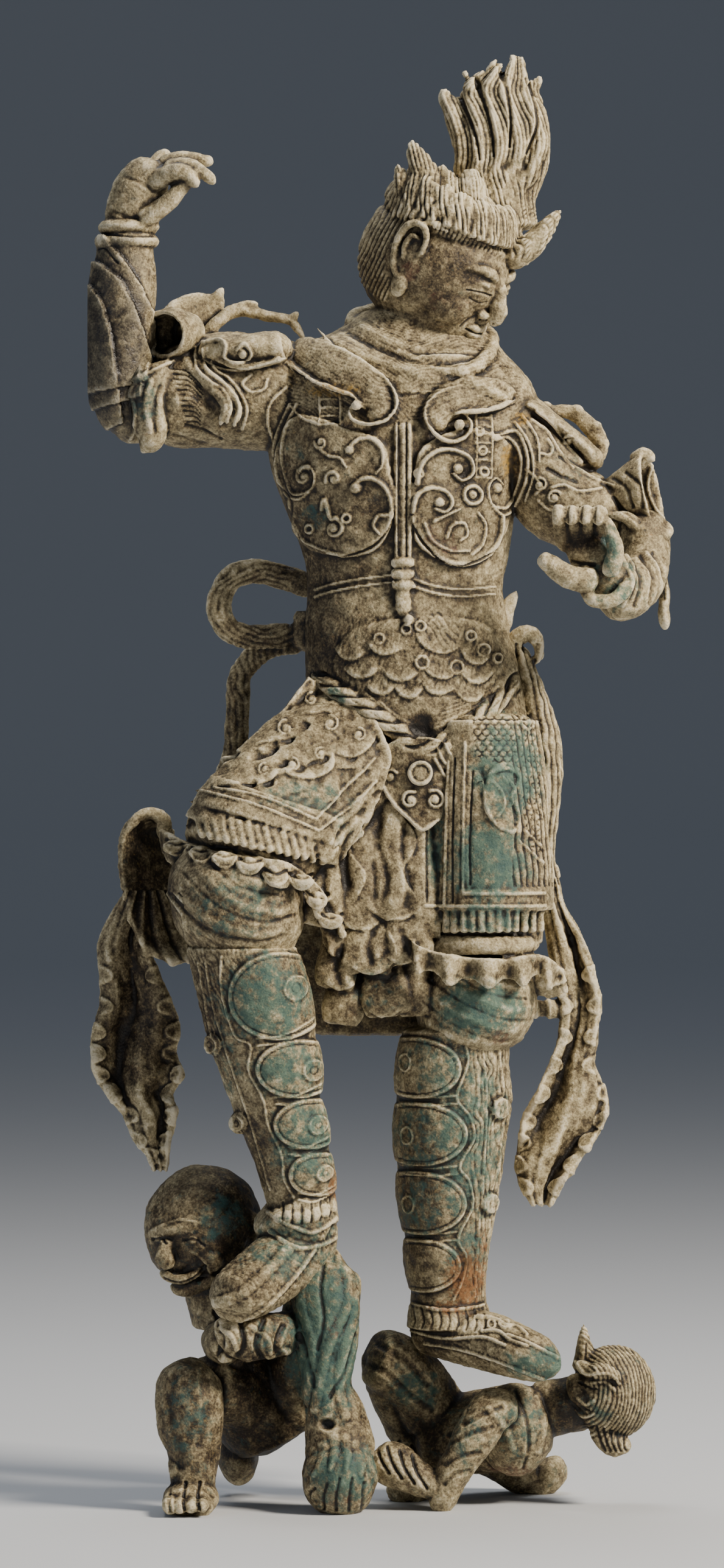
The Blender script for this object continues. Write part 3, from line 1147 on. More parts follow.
def carveHead(skin):
    f, u, r = skin["head"].T
    x, y, z = skin["co"].T
    # the face: eye lines, nostrils, mouth and the folds beside them
    for side in (1, -1):
        stroke(skin, [7 * side, -1, 14 * side, -0.5, 20 * side, -1, 25 * side, -2], 1.5, -1.1, faceView)
        stroke(skin, [8 * side, -5.5, 14 * side, -7.5, 21 * side, -6.5], 1.4, -0.5, faceView)
        stroke(skin, [10 * side, -17, 14.5 * side, -21, 16 * side, -26], 2.4, -0.6, faceView)
        disc(skin, 4.2 * side, -17.6, 1.6, 1.3, -1.2, faceView)
    stroke(skin, [-12, -26.6, -5, -27.4, 0, -26.8, 5, -27.4, 12, -26.6], 1.4, -1.3, faceView)
    # hair: drawn back over the skull, upright over the brow and in waves up the flame
    behind = step(6, -4, f)
    hairline = mix(24, -32, behind)
    ears = step(1.0, 0.8, np.hypot((f - 3) / 17, (u - 5) / 28)) * (np.abs(r) > 36)
    hair = step(-1.5, 1.5, u - hairline) * step(752, 758, z) * (1 - ears)
    skin["swell"] += 0.8 * hair
    upright = step(-4, 4, z - 826 + 0.45 * (x - 24) - 20 * step(30, 10, x))
    comb(skin, 0.9 * x - 0.45 * z, head["combPitch"] * 1.2, head["combDepth"], hair * (1 - upright), 0.15)
    around = np.arctan2(y + 5, x - 62) * 40
    band = hair * upright * step(866, 856, z) * step(854, 846, z - 0.25 * np.maximum(x - 66, 0))
    comb(skin, around + 0.08 * (z - 830), head["combPitch"] * 1.1, head["combDepth"] * 1.15, band, 0.2, 4)
    comb(skin, around, head["combPitch"] * 4.1, head["combDepth"] * 1.1, band, 0.4, 6)
    tall, left, right = smoothLine(head["flameOutline"])(np.linspace(0, 1, 80))[0].T
    left, right = np.interp(z, tall, left), np.interp(z, tall, right)
    strand = (x - left) / (right - left)
    flameHair = step(846, 854, z) * step(-0.12, -0.06, strand)
    comb(skin, strand * 58, head["combPitch"] * 1.15, head["combDepth"] * 0.85, flameHair, 0.2, 5)
    skin["swell"] += flameHair * 1.3 * np.sin(strand * 31 + 0.8 * noiseAt(skin["co"], 18, 8))
    for view in (frontView, backView):
        strokes(skin, [[62.5, 902, 67, 888, 73, 872, 75, 858], [73, 909, 79, 892, 83, 874, 84, 860],
            [87.5, 920, 92, 902, 95, 882, 94, 866], [105, 910, 110, 894, 111, 878, 105, 862]], 5, -2.4,
            view=view, taper=0.6)
    lock = step(98, 104, x) * step(832, 826, z) * step(792, 798, z)
    comb(skin, x - 1.1 * z, head["combPitch"] * 1.4, head["combDepth"], lock, 0.15, 7)
    tips = step(844, 850, z) * step(55, 50, x)
    comb(skin, x + 0.25 * z, head["combPitch"] * 1.1, head["combDepth"], tips, 0.15, 9)
    skin["shade"] = np.maximum(skin["shade"], 0.7 * step(40, 0, x + 0.5 * (795 - z)) * step(812, 770, z))
    patches(skin, "red", [[30, 786, 9, 10, 0.55], [46, 766, 8, 9, 0.35]])
    patches(skin, "shade", [[58, 780, 34, 34, 0.55], [36, 800, 16, 24, 0.3], [88, 870, 34, 50, -0.35],
        [70, 832, 30, 14, -0.4], [112, 812, 16, 18, -0.3], [82, 744, 12, 14, -0.4]])


def carveTrunk(skin):
    x, y, z = skin["co"].T
    width, rise = trunk["lineWidth"], trunk["lineRise"]
    chest = {"deep": (-75, -20), "taper": 0.5}
    # right breast: a leaf lobe that curls in below, and scrolls round sunken grounds
    for inset in (0, 4.6):
        stroke(skin, [-46 + inset, 701, -54 + inset, 683, -56 + inset, 666, -51 + inset, 648,
            -41, 641 + inset * 0.6, -32, 647, -30, 656, -35, 662, -40, 657], 2.7, 1.38, **chest)
    for x0, z0, wide, tall, depth in ((-42, 670, 10, 22, 1.0), (-32, 629, 10, 12, 1.2),
            (2, 632, 12, 14, 1.4), (-14, 640, 12, 9, 1.2), (56, 655, 13, 10, 1.3), (50, 622, 12, 12, 1.4),
            (74, 622, 12, 10, 1.0), (92, 662, 9, 18, 0.9), (0, 664, 9, 7, 1.0)):
        disc(skin, x0, z0, wide, tall, -depth, edge=0.5, deep=chest["deep"])
    scroll(skin, -37, 655, 6, 60, 1, 1.0, width, rise)
    stroke(skin, [-46, 641, -45, 628, -38, 616, -28, 610, -16, 606], 3.0, 1.38, **chest)
    stroke(skin, [-28, 688, -38, 692, -46, 701], 2.7, 1.31, **chest)
    scroll(skin, -18, 622, 7, 110, -1, 1.1, width, rise, tail=[[-26, 634], [-24, 640]])
    scroll(skin, -18, 653, 5, 200, -1, 1.0, width, rise)
    stroke(skin, [-6, 646, -1, 652, 6, 653, 14, 648, 18, 639, 18, 628, 14, 616, 6, 608, -8, 605, -22, 607],
        4.0, 1.89, **chest)
    dome(skin, -4, 647, 4, 3.6, 2.8)
    stroke(skin, [17, 630, 10, 629, 7, 623, 11, 618], width, rise, **chest)
    stroke(skin, [-8, 672, -3, 677, 5, 678, 12, 672, 13, 662, 9, 656], 3.4, 1.59, **chest)
    dome(skin, -8, 671, 3, 3, 2.2)
    stroke(skin, [-30, 676, -22, 668, -14, 666, -10, 660], 3.0, 1.31, **chest)
    scroll(skin, -26, 676, 4, 200, 1, 1.0, 2.4, 1.6)
    # left breast
    stroke(skin, [35, 650, 38, 662, 47, 670, 58, 671, 68, 666, 70, 657, 64, 652, 58, 656], 3.8, 2.6,
        **chest)
    dome(skin, 61, 659, 3.4, 3.4, 2.6)
    stroke(skin, [32, 632, 35, 642, 43, 647, 53, 645, 57, 638, 53, 632, 46, 634], 3.9, 1.81, **chest)
    dome(skin, 49, 638, 3.2, 3.0, 2.4)
    ring(skin, 70, 643, 5.6, 5.6, 3.0, 2.2)
    disc(skin, 70, 643, 2.4, 2.4, 1.4)
    stroke(skin, [32, 628, 35, 615, 44, 606, 56, 601, 68, 600, 80, 606, 87, 616, 89, 630], 3.8, 2.6,
        **chest)
    strokes(skin, [[40, 624, 45, 614, 56, 608, 68, 608], [54, 616, 58, 624, 65, 625, 67, 618, 62, 614],
        [70, 606, 77, 613, 79, 624, 74, 632], [46, 626, 54, 630, 62, 634]], 3.0, 1.45, **chest)
    for inset in (0, 4.4):
        stroke(skin, [84, 680 - inset * 0.4, 98 - inset, 684 - inset, 105 - inset, 668, 104 - inset, 652,
            98 - inset, 638, 90 - inset * 0.4, 631 + inset, 82, 638, 80, 648, 85, 654, 90, 650], 2.7, 1.38,
            **chest)
    dome(skin, 86, 648, 3.2, 3.2, 2.4)
    strokes(skin, [[97, 690, 106, 676, 109, 658, 104, 640], [102, 694, 111, 680, 113, 664]], 2.4, 1.6,
        **chest)
    for px, pz in ((76, 671), (77, 658), (74, 683), (-34, 622), (-10, 628), (36, 656)):
        ring(skin, px, pz, 2.6, 2.6, 2.0, 1.6)
    # banded straps over the shoulders
    for left, right, top, bottom in ((-27, -14, 707, 687), (72, 82, 694, 654)):
        for px in (left, right):
            stroke(skin, [px, top, px + 0.5, (top + bottom) / 2, px, bottom], 2.1, 1.17, **chest)
        for pz in np.arange(bottom, top, 5.4):
            stroke(skin, [left, pz, (left + right) / 2, pz + 0.6, right, pz], 2.0, 0.87, **chest)
    # the seam, the belt line and the short skirt of the cuirass
    for px in (23, 28):
        stroke(skin, [px, 688, px, 645, px, 604], 1.6, -1.2, **chest)
    for lift in (0, 4.6):
        strokes(skin, [[-34, 578 + lift, -20, 582 + lift, -4, 585 + lift, 20, 588 + lift],
            [33, 585 + lift, 46, 581 + lift, 64, 579 + lift, 90, 582 + lift]], 2.3, 1.31, **chest)
    twist(skin, ropeLine, 13, 15, 2.4)
    stroke(skin, ropeLine, 1.6, -0.8)
    cloudScrolls(skin)
    # pendant plaque: a ringed boss over two spirals
    stroke(skin, [61, 476, 61, 462, 59, 450, 54, 441, 46, 436, 38, 431.5, 30, 438, 20, 448, 13, 460,
        10, 470, 13, 484], 2.6, 1.8, deep=(-80, -30))
    scroll(skin, 30.5, 450, 5.6, 60, 1, 1.2, 2.4, 1.8)
    scroll(skin, 46, 450, 6.4, 120, -1, 1.3, 2.4, 1.8)
    scroll(skin, 18, 465, 4.5, 30, 1, 1.0, 2.2, 1.5)
    ring(skin, 37, 467, 6.4, 6.4, 2.4, 1.8)
    disc(skin, 37, 467, 4.4, 4.4, 0.9)
    strokes(skin, [[48, 482, 52, 474, 60, 470], [52, 486, 56, 479, 64, 475], [46, 476, 52, 466, 58, 462]],
        2.0, 1.4)
    carveSleeves(skin)
    # the cowl's folds and the weave of the lapels
    folds(skin, [[-14, 764, 4, 749, 28, 738, 58, 733, 80, 738], [-30, 750, -8, 736, 18, 725, 46, 718],
        [60, 724, 76, 712, 94, 704]], 11, 1.8)
    folds(skin, [[-20, 756, 0, 742, 24, 731, 54, 726, 76, 730]], 7, -1.6)
    ledges(skin, [[-52, 744, -49, 731, -33, 716, -8, 705], [98, 703, 81, 696, 62, 694]], 9, 1.4)
    collarMask = (z > 690) * (y < -20) * step(-54, -48, x) * step(108, 100, x)
    comb(skin, z + 0.62 * x + 4 * noiseAt(skin["co"], 20, 14), 2.6, 0.3, collarMask * (x < 30), 0.9)
    comb(skin, z - 0.35 * x + 4 * noiseAt(skin["co"], 20, 15), 2.6, 0.3, collarMask * (x >= 30), 0.9)
    # ribbon loop: long shallow folds
    ribbon = (x < -44) & (z < 610) & (y > 0)
    comb(skin, np.hypot(x + 62, (z - 574) * 1.25), 4.2, 0.5, ribbon * (z > 548), 0.6)
    comb(skin, x + 0.12 * z, 4.2, 0.5, ribbon * (z <= 548), 0.6)
    patches(skin, "gilt", [[-18, 709, 24, 6, 0.5], [93, 665, 7, 14, 0.62], [101, 692, 8, 7, 0.6],
        [-44, 722, 5, 14, 0.3]], (-80, -20))
    patches(skin, "steel", [[-158, 742, 30, 88, 0.9], [-140, 838, 24, 36, 0.3], [-124, 746, 12, 20, 0.5],
        [-120, 840, 36, 30, 0.25]])
    patches(skin, "red", [[50, 614, 16, 16, 0.38], [98, 658, 4, 6, 0.4]], (-80, -20))
    patches(skin, "verdigris", [[-30, 630, 12, 12, 0.6], [-44, 675, 12, 24, 0.3], [160, 585, 30, 26, 0.45],
        [-136, 705, 12, 22, 0.6], [128, 660, 25, 20, 0.25], [156, 606, 8, 22, 0.75],
        [-20, 512, 14, 14, 0.55], [85, 505, 20, 12, 0.4]])
    patches(skin, "shade", [[-40, 590, 30, 34, 0.6], [-34, 545, 30, 34, 0.65], [-36, 634, 12, 26, 0.35],
        [38, 497, 10, 14, 0.8], [-100, 700, 18, 22, 0.5], [132, 615, 24, 18, 0.45], [178, 628, 16, 12, 0.5],
        [140, 614, 17, 9, 0.9], [-60, 560, 22, 44, 0.45], [-82, 490, 20, 50, 0.45],
        [-160, 740, 30, 80, 0.35], [4, 640, 16, 20, 0.25], [-20, 718, 34, 18, -0.45],
        [72, 700, 34, 14, -0.5], [70, 555, 30, 26, -0.5], [44, 515, 34, 12, -0.35],
        [150, 655, 34, 22, -0.4], [186, 590, 14, 26, -0.4], [60, 590, 30, 10, -0.3],
        [-80, 742, 30, 12, -0.35], [-152, 840, 10, 20, -0.2], [90, 640, 16, 24, -0.3],
        [-46, 640, 8, 30, 0.5]])


# Cloud scrolls over the belly: rings hung with scalloped lines, and hair-like strands below.
def cloudScrolls(skin):
    plateFace = {"deep": (-80, -30)}
    ledges(skin, [[34, 556, 37, 549, 45, 544, 54, 543, 63, 548], [3, 551, 8, 544, 16, 542, 26, 546],
        [-18, 548, -12, 540, -4, 539, 3, 545], [62, 546, 67, 538, 75, 536, 82, 542]], -10, 1.5, **plateFace)
    ledges(skin, [[39, 533, 45, 528, 54, 527, 61, 532], [12, 533, 20, 526, 29, 526, 37, 532],
        [-12, 534, -5, 528, 4, 528, 12, 534], [61, 532, 68, 525, 77, 525, 85, 533]], -9, 1.5, **plateFace)
    ledges(skin, [[38, 524, 43, 518, 51, 517, 59, 521], [20, 523, 25, 516, 33, 515, 39, 521],
        [59, 519, 65, 513, 72, 513, 78, 518], [2, 524, 8, 518, 15, 517, 21, 522]], -8, 1.4, **plateFace)
    for px, pz, radius in ((28, 558, 3.0), (37, 560, 3.2), (11, 552, 3.2), (38, 537, 4.0), (60, 534, 4.0),
            (69, 554, 3.0), (77, 545, 3.8), (86, 540, 3.0)):
        ring(skin, px, pz, radius, radius, 1.8, 1.3)
    for k in range(6):
        stroke(skin, [45 + 2 * k, 495 + 3.2 * k, 57 + 2.6 * k, 500 + 3.2 * k, 72 + 3 * k, 511 + 2.2 * k],
            1.8, 0.5, **plateFace)
    ledges(skin, [[10, 514, 20, 505, 33, 497], [0, 520, 12, 510, 26, 500], [48, 498, 60, 504, 78, 512]], 6,
        1.0, **plateFace)
    x, y, z = skin["co"].T
    leaf = inside([[38, 566], [50, 570], [62, 562], [62, 550], [50, 547], [41, 551]], x, z) * (y < -30)
    comb(skin, 0.5 * x + 0.4 * z, 2.4, 0.5, leaf, 0.4)
    belly = (z > 515) & (z < 566) & (y < -35) & (x > -20) & (x < 95)
    comb(skin, x * 0.9 - z * 0.3, 3.0, 0.3, belly * 0.8, 1.4, 17)
    disc(skin, 37, 494, 7, 9, -2.6, edge=0.6, **plateFace)


def carveSleeves(skin):
    x, _, z = skin["co"].T
    # the forearm guard: each leaf stands out over the one before it
    guard = step(-128, -132, x) * step(676, 684, z) * step(812, 808, z)
    for k, points in enumerate(rightArm["petals"]):
        outline = points + [[-185, points[-1][1] - 10], [-185, points[0][1]]]
        leaf = inside(outline, x, z) * guard
        skin["swell"] += leaf * rightArm["petalStep"]
        stroke(skin, points, 1.8, 0.8, taper=0.4)
    stroke(skin, [-166, 800, -162, 800, -154, 790], 2.0, -1.0)
    # scrolled shoulder cap and the swirling folds of the sleeve below it
    stroke(skin, [-101, 740, -92, 741, -86, 738, -87, 731, -81, 727, -74, 728, -70, 733, -74, 738,
        -79, 735], 2.6, 1.9)
    dome(skin, -75.5, 732.5, 3, 3, 2.0)
    strokes(skin, [[-101, 730, -90, 724, -76, 723, -50, 729],
        [-106, 738, -105, 724, -96, 715, -88, 710, -83, 700, -86, 690],
        [-101, 736, -99, 724, -90, 716, -82, 709, -78, 699, -81, 688],
        [-96, 728, -92, 722, -84, 717, -77, 708, -73, 698, -76, 686], [-70, 720, -76, 714, -70, 709,
        -62, 711, -60, 717], [-48, 712, -58, 702, -60, 690, -56, 678]], 2.2, 1.3)
    for k in range(11):
        stroke(skin, [-121 + k, 724 - 3.4 * k, -111 + 0.6 * k, 722 - 3.2 * k,
            -101 - 0.2 * k, 712 - 2.4 * k], 1.8, -0.7, taper=0.5)
    folds(skin, [[-124, 700, -112, 704, -98, 694, -88, 680], [-96, 744, -80, 738, -60, 742]], 14, 1.6)
    stroke(skin, [-120, 729, -136, 720, -145, 709, -144, 696, -145, 686, -148, 679], 2.4, 1.5)
    strokes(skin, [[-122, 722, -128, 704, -126, 686], [-134, 716, -137, 700, -134, 684]], 5.0, 1.0)
    strokes(skin, [[-128, 712, -132, 698, -131, 684]], 4.0, -1.0)
    strokes(skin, [[-120, 682, -104, 678, -84, 672], [-112, 688, -100, 685, -90, 680]], 3.0, -1.0)
    # wrist cords, finger joints and nails
    stroke(skin, [-166, 810, -148, 808, -130, 809], 2.0, -1.2)
    strokes(skin, [[-152, 846, -140, 842, -132, 836], [-158, 824, -146, 820, -136, 822]], 3.5, -0.5)
    # the left sleeve: a rolled hem, crescents and small spirals
    strokes(skin, [[108, 692, 118, 684, 125, 672, 134, 661], [111, 697, 122, 688, 130, 676, 140, 665],
        [118, 679, 121, 674, 119, 669, 114, 670], [104, 660, 110, 655, 114, 648, 110, 644],
        [128, 668, 140, 659, 152, 653, 160, 650], [112, 640, 120, 634, 132, 636],
        [120, 648, 128, 650, 138, 646, 152, 648]], 2.2, 1.3)
    scroll(skin, 131, 678, 3.8, 60, 1, 1.0, 2.2, 1.7)
    scroll(skin, 113, 650, 4.4, 90, -1, 1.1, 2.2, 1.7)
    scroll(skin, 122, 642, 4.6, 30, 1, 1.1, 2.2, 1.7)
    strokes(skin, [[126, 668, 134, 664, 146, 660], [118, 660, 126, 656, 136, 652]], 4.0, -1.4)
    strokes(skin, [[160, 655, 168, 648, 172, 636], [168, 658, 176, 650, 178, 636],
        [160, 642, 166, 634, 176, 626]], 3.4, -1.1)
    stroke(skin, [186, 666, 183, 652, 187, 638, 193, 629], 2.4, 1.4)
    # the wrist's cuff, twisted cloth below it, and the lines of the hand
    strokes(skin, [[170, 600, 176, 588, 172, 572], [176, 604, 184, 592, 182, 574],
        [184, 606, 190, 594, 192, 578]], 4.0, -1.5)
    strokes(skin, [[166, 598, 170, 586, 164, 572], [180, 606, 188, 594, 188, 574]], 3.0, 1.3)
    for k in range(3):
        stroke(skin, [129 + 8.5 * k, 622, 129 + 8.5 * k, 630, 130 + 8.5 * k, 636], 1.8, -0.9)
    stroke(skin, [120, 604, 132, 600, 146, 598], 3.0, -1.2)


def carveSkirts(skin):
    x, y, z = skin["co"].T
    # soft slanting folds over the knees, and the pinched cloth under them
    folds(skin, [[-118, 396, -96, 376, -66, 366, -44, 370], [-120, 380, -98, 364, -70, 358],
        [-106, 412, -84, 390, -56, 380, -40, 384], [-84, 410, -64, 398, -42, 400]], 9, 1.2)
    strokes(skin, [[-120, 388, -98, 370, -68, 362, -46, 366], [-112, 404, -90, 384, -62, 374, -42, 378],
        [-96, 412, -76, 396, -50, 390], [-110, 372, -90, 360, -66, 356]], 3.4, -0.6)
    leftKnee = {"deep": (-100, 10)}
    folds(skin, [[40, 330, 60, 316, 84, 306, 104, 304], [44, 340, 66, 328, 92, 318, 109, 318],
        [38, 312, 54, 302, 74, 296], [72, 340, 92, 332, 108, 330]], 8, 1.1, **leftKnee)
    strokes(skin, [[39, 322, 58, 308, 80, 299, 98, 297], [42, 336, 64, 322, 88, 312, 107, 310],
        [56, 341, 80, 328, 104, 324]], 3.2, -0.6, **leftKnee)
    # right tasset: a triangle in ridges, cloud curls above it and two balls at the waist
    width, rise = 1.9, 1.2
    rightFlap = {"deep": (-120, -30)}
    strokes(skin, [[-93, 458, -62, 452, -29, 438], [-29, 438, -10, 458, 8, 476],
        [-101, 456, -66, 447, -27, 431], [-27, 431, -8, 446, 9, 462]], width, rise, **rightFlap)
    ledges(skin, [[10, 492, 4, 483, -6, 477, -17, 480], [-18, 480, -19, 470, -30, 464, -44, 465, -50, 471],
        [-51, 470, -59, 462, -74, 460, -97, 459]], 9, 1.5, **rightFlap)
    for px, pz, radius, hand in ((-43.6, 472, 4.4, -1), (-26, 479, 4.0, 1), (-61, 469, 4.4, 1),
            (-48, 495, 5.5, 1), (-20, 498, 5.5, -1), (-2, 491, 4.4, -1), (-32, 514, 4.4, 1)):
        scroll(skin, px, pz, radius, 90, hand, 1.1, width, rise)
        dome(skin, px, pz, radius * 0.35, radius * 0.35, 1.0)
    ledges(skin, [[-70, 484, -60, 487, -50, 488, -40, 490], [-40, 505, -30, 505, -22, 506, -12, 500]], -7,
        1.2, **rightFlap)
    folds(skin, [[-18, 432, -6, 444, 8, 460], [-24, 408, -14, 424, -2, 440], [-10, 418, 0, 432, 8, 448]], 8,
        1.6, **rightFlap)
    # left tasset: strips, scales and a curled cloud
    leftFlap = {"deep": (-85, -30)}
    strokes(skin, [[65, 486, 64, 440, 63.5, 393], [54.5, 474, 53, 430, 52, 384],
        [64, 391, 90, 391, 116, 391], [40, 383, 80, 383, 116, 383]], 2.2, 1.2, **leftFlap)
    strokes(skin, [[41.5, 466, 41, 430, 41, 386], [58.5, 476, 57, 430, 57, 386],
        [70, 468, 68, 430, 68, 397]], 1.8, -1.2, **leftFlap)
    strokes(skin, [[93, 430, 103, 421, 115, 410], [97, 436, 106, 428, 115, 420]], 1.8, 1.1, **leftFlap)
    ledges(skin, [[70, 472, 77, 460, 78, 448, 85, 435, 95, 431, 99, 439, 94, 452, 99, 463, 93, 469, 82, 467,
        76, 462]], 10, 1.6, **leftFlap)
    strokes(skin, [[82, 462, 88, 456, 90, 447, 86, 440], [92, 464, 96, 458, 95, 450], [88, 466, 92, 461]],
        width, 0.9, **leftFlap)
    scroll(skin, 106, 499, 6, 90, 1, 1.1, width, rise)
    scaleRegion = [(70, 506), (113, 500), (115, 416), (108, 420), (101, 440), (102, 466), (84, 474),
        (71, 478)]
    scales(skin, scaleRegion, 5.4, 0.8, (-85, -30))
    # folds of the hanging cloth and the hems
    cloth = step(40, 34, x) * step(-32, -26, x) * (z > 300) * (z < 470) * step(-25, -35, y)
    skin["swell"] += cloth * 1.5 * noiseAt(skin["co"] * [1, 0.4, 0.5], 10, 44)
    ledges(skin, [[2, 384, 12, 376, 24, 374, 36, 380], [-18, 380, -8, 370, 4, 368, 12, 374],
        [14, 352, 24, 346, 36, 350], [-8, 346, 4, 339, 16, 342], [-26, 336, -14, 330, -4, 334],
        [2, 318, 14, 312, 26, 318]], -9, 1.4, deep=(-120, -20))
    folds(skin, [[14, 448, 10, 424, 16, 400, 12, 380], [30, 450, 26, 420, 30, 396, 26, 378],
        [-6, 436, -12, 412, -6, 388], [10, 374, 4, 356, 8, 342], [24, 372, 28, 352],
        [-22, 410, -24, 392, -18, 374], [-12, 360, -16, 344, -10, 326]], 9, -1.7, deep=(-120, -20))
    ledges(skin, [[22, 446, 34, 424, 26, 404, 36, 386], [2, 440, -8, 420, 2, 402, -6, 384],
        [16, 370, 22, 354, 16, 342]], 8, 1.2, deep=(-120, -20))
    for px, _, pz, _ in skirt["hemCurls"]:
        stroke(skin, [px - 8, pz + 2, px - 3, pz - 4, px + 3, pz - 4.5, px + 8, pz + 1], 2.0, 0.9)
        stroke(skin, [px - 7, pz + 5, px, pz + 2, px + 7, pz + 4], 3.0, -1.3)
    # scarves: long folds
    lengthFolds(skin, rightScarfStations, 2.6, 0.8, ((x > 95) & (z < 400) & (y > -14)).astype(float))
    comb(skin, x + 0.10 * z + 0.6 * y, 6.5, 1.2, (x > 95) * (z > 395) * (z < 550) * 1.0, 0.3)
    lengthFolds(skin, leftScarfStations, 2.4, 0.8, ((x < -112) & (z < 392)).astype(float))
    for stations in (leftScarfStations, rightScarfStations):
        for station in stations[3:-1]:
            for edge, way in ((station[1], 1), (station[2], -1)):
                ledges(skin, [[edge - 2 * way, station[0] + 7, edge + 7 * way, station[0] + 3,
                    edge + 8 * way, station[0] - 3, edge - 1 * way, station[0] - 7]], 7 * way, 1.3)
    # folds of the skirt behind
    back = facing(skin, backView, 0.0, 0.4) * step(484, 436, z) * step(288, 318, z)
    back = back * step(-80, -64, x) * step(112, 98, x)
    wave = x * 0.15 + 2.4 * np.sin(z * 0.012 + 0.5) + 3.0 * noiseAt(skin["co"], 60, 45)
    skin["swell"] += back * (1.2 * np.sin(wave) + 0.6 * np.sin(wave * 1.9 + z * 0.02))
    patches(skin, "verdigris", [[92, 470, 30, 40, 0.85], [80, 410, 36, 36, 0.82], [46, 430, 8, 50, 0.6],
        [75, 318, 40, 24, 0.85], [-80, 385, 40, 30, 0.5], [-36, 452, 34, 14, 0.55], [80, 376, 44, 14, 0.62],
        [8, 330, 24, 24, 0.35], [-10, 440, 14, 24, 0.35]], (-125, 10))
    patches(skin, "red", [[88, 300, 8, 8, 0.6]], (-120, 10))
    patches(skin, "shade", [[-138, 400, 26, 50, 0.8], [-145, 310, 34, 60, 0.6], [10, 320, 34, 24, 0.5],
        [60, 336, 60, 5, 0.5], [-20, 340, 20, 40, 0.4], [-80, 378, 46, 30, 0.3], [-46, 480, 50, 34, -0.45],
        [-6, 440, 18, 30, -0.5], [36, 456, 26, 24, -0.35], [-75, 412, 46, 9, -0.5],
        [90, 340, 40, 12, -0.45], [110, 480, 14, 60, -0.35], [52, 470, 8, 40, -0.2],
        [150, 250, 20, 60, -0.2]])
    skin["shade"] = np.maximum(skin["shade"], 0.55 * (y > 0) * step(390, 340, z) * (x > -60) * (x < 100))


# Overlapping scales inside an outline of x, z places.
def scales(skin, outline, size, depth, deep):
    x, _, z = skin["co"].T
    mask = inside(outline, x, z) & within(skin, deep)
    row = z / (size * 0.62)
    for odd in (0, 1):
        k = np.round((row - odd) / 2) * 2 + odd
        cx = (np.round(x / size - 0.5 * odd) + 0.5 * odd) * size
        away = np.hypot(x - cx, z - k * size * 0.62 - size * 0.2)
        arc = step(0.9, 0.2, np.abs(away - size * 0.5)) * (z < k * size * 0.62 + size * 0.2)
        skin["groove"] = np.maximum(skin["groove"], depth * arc * mask)


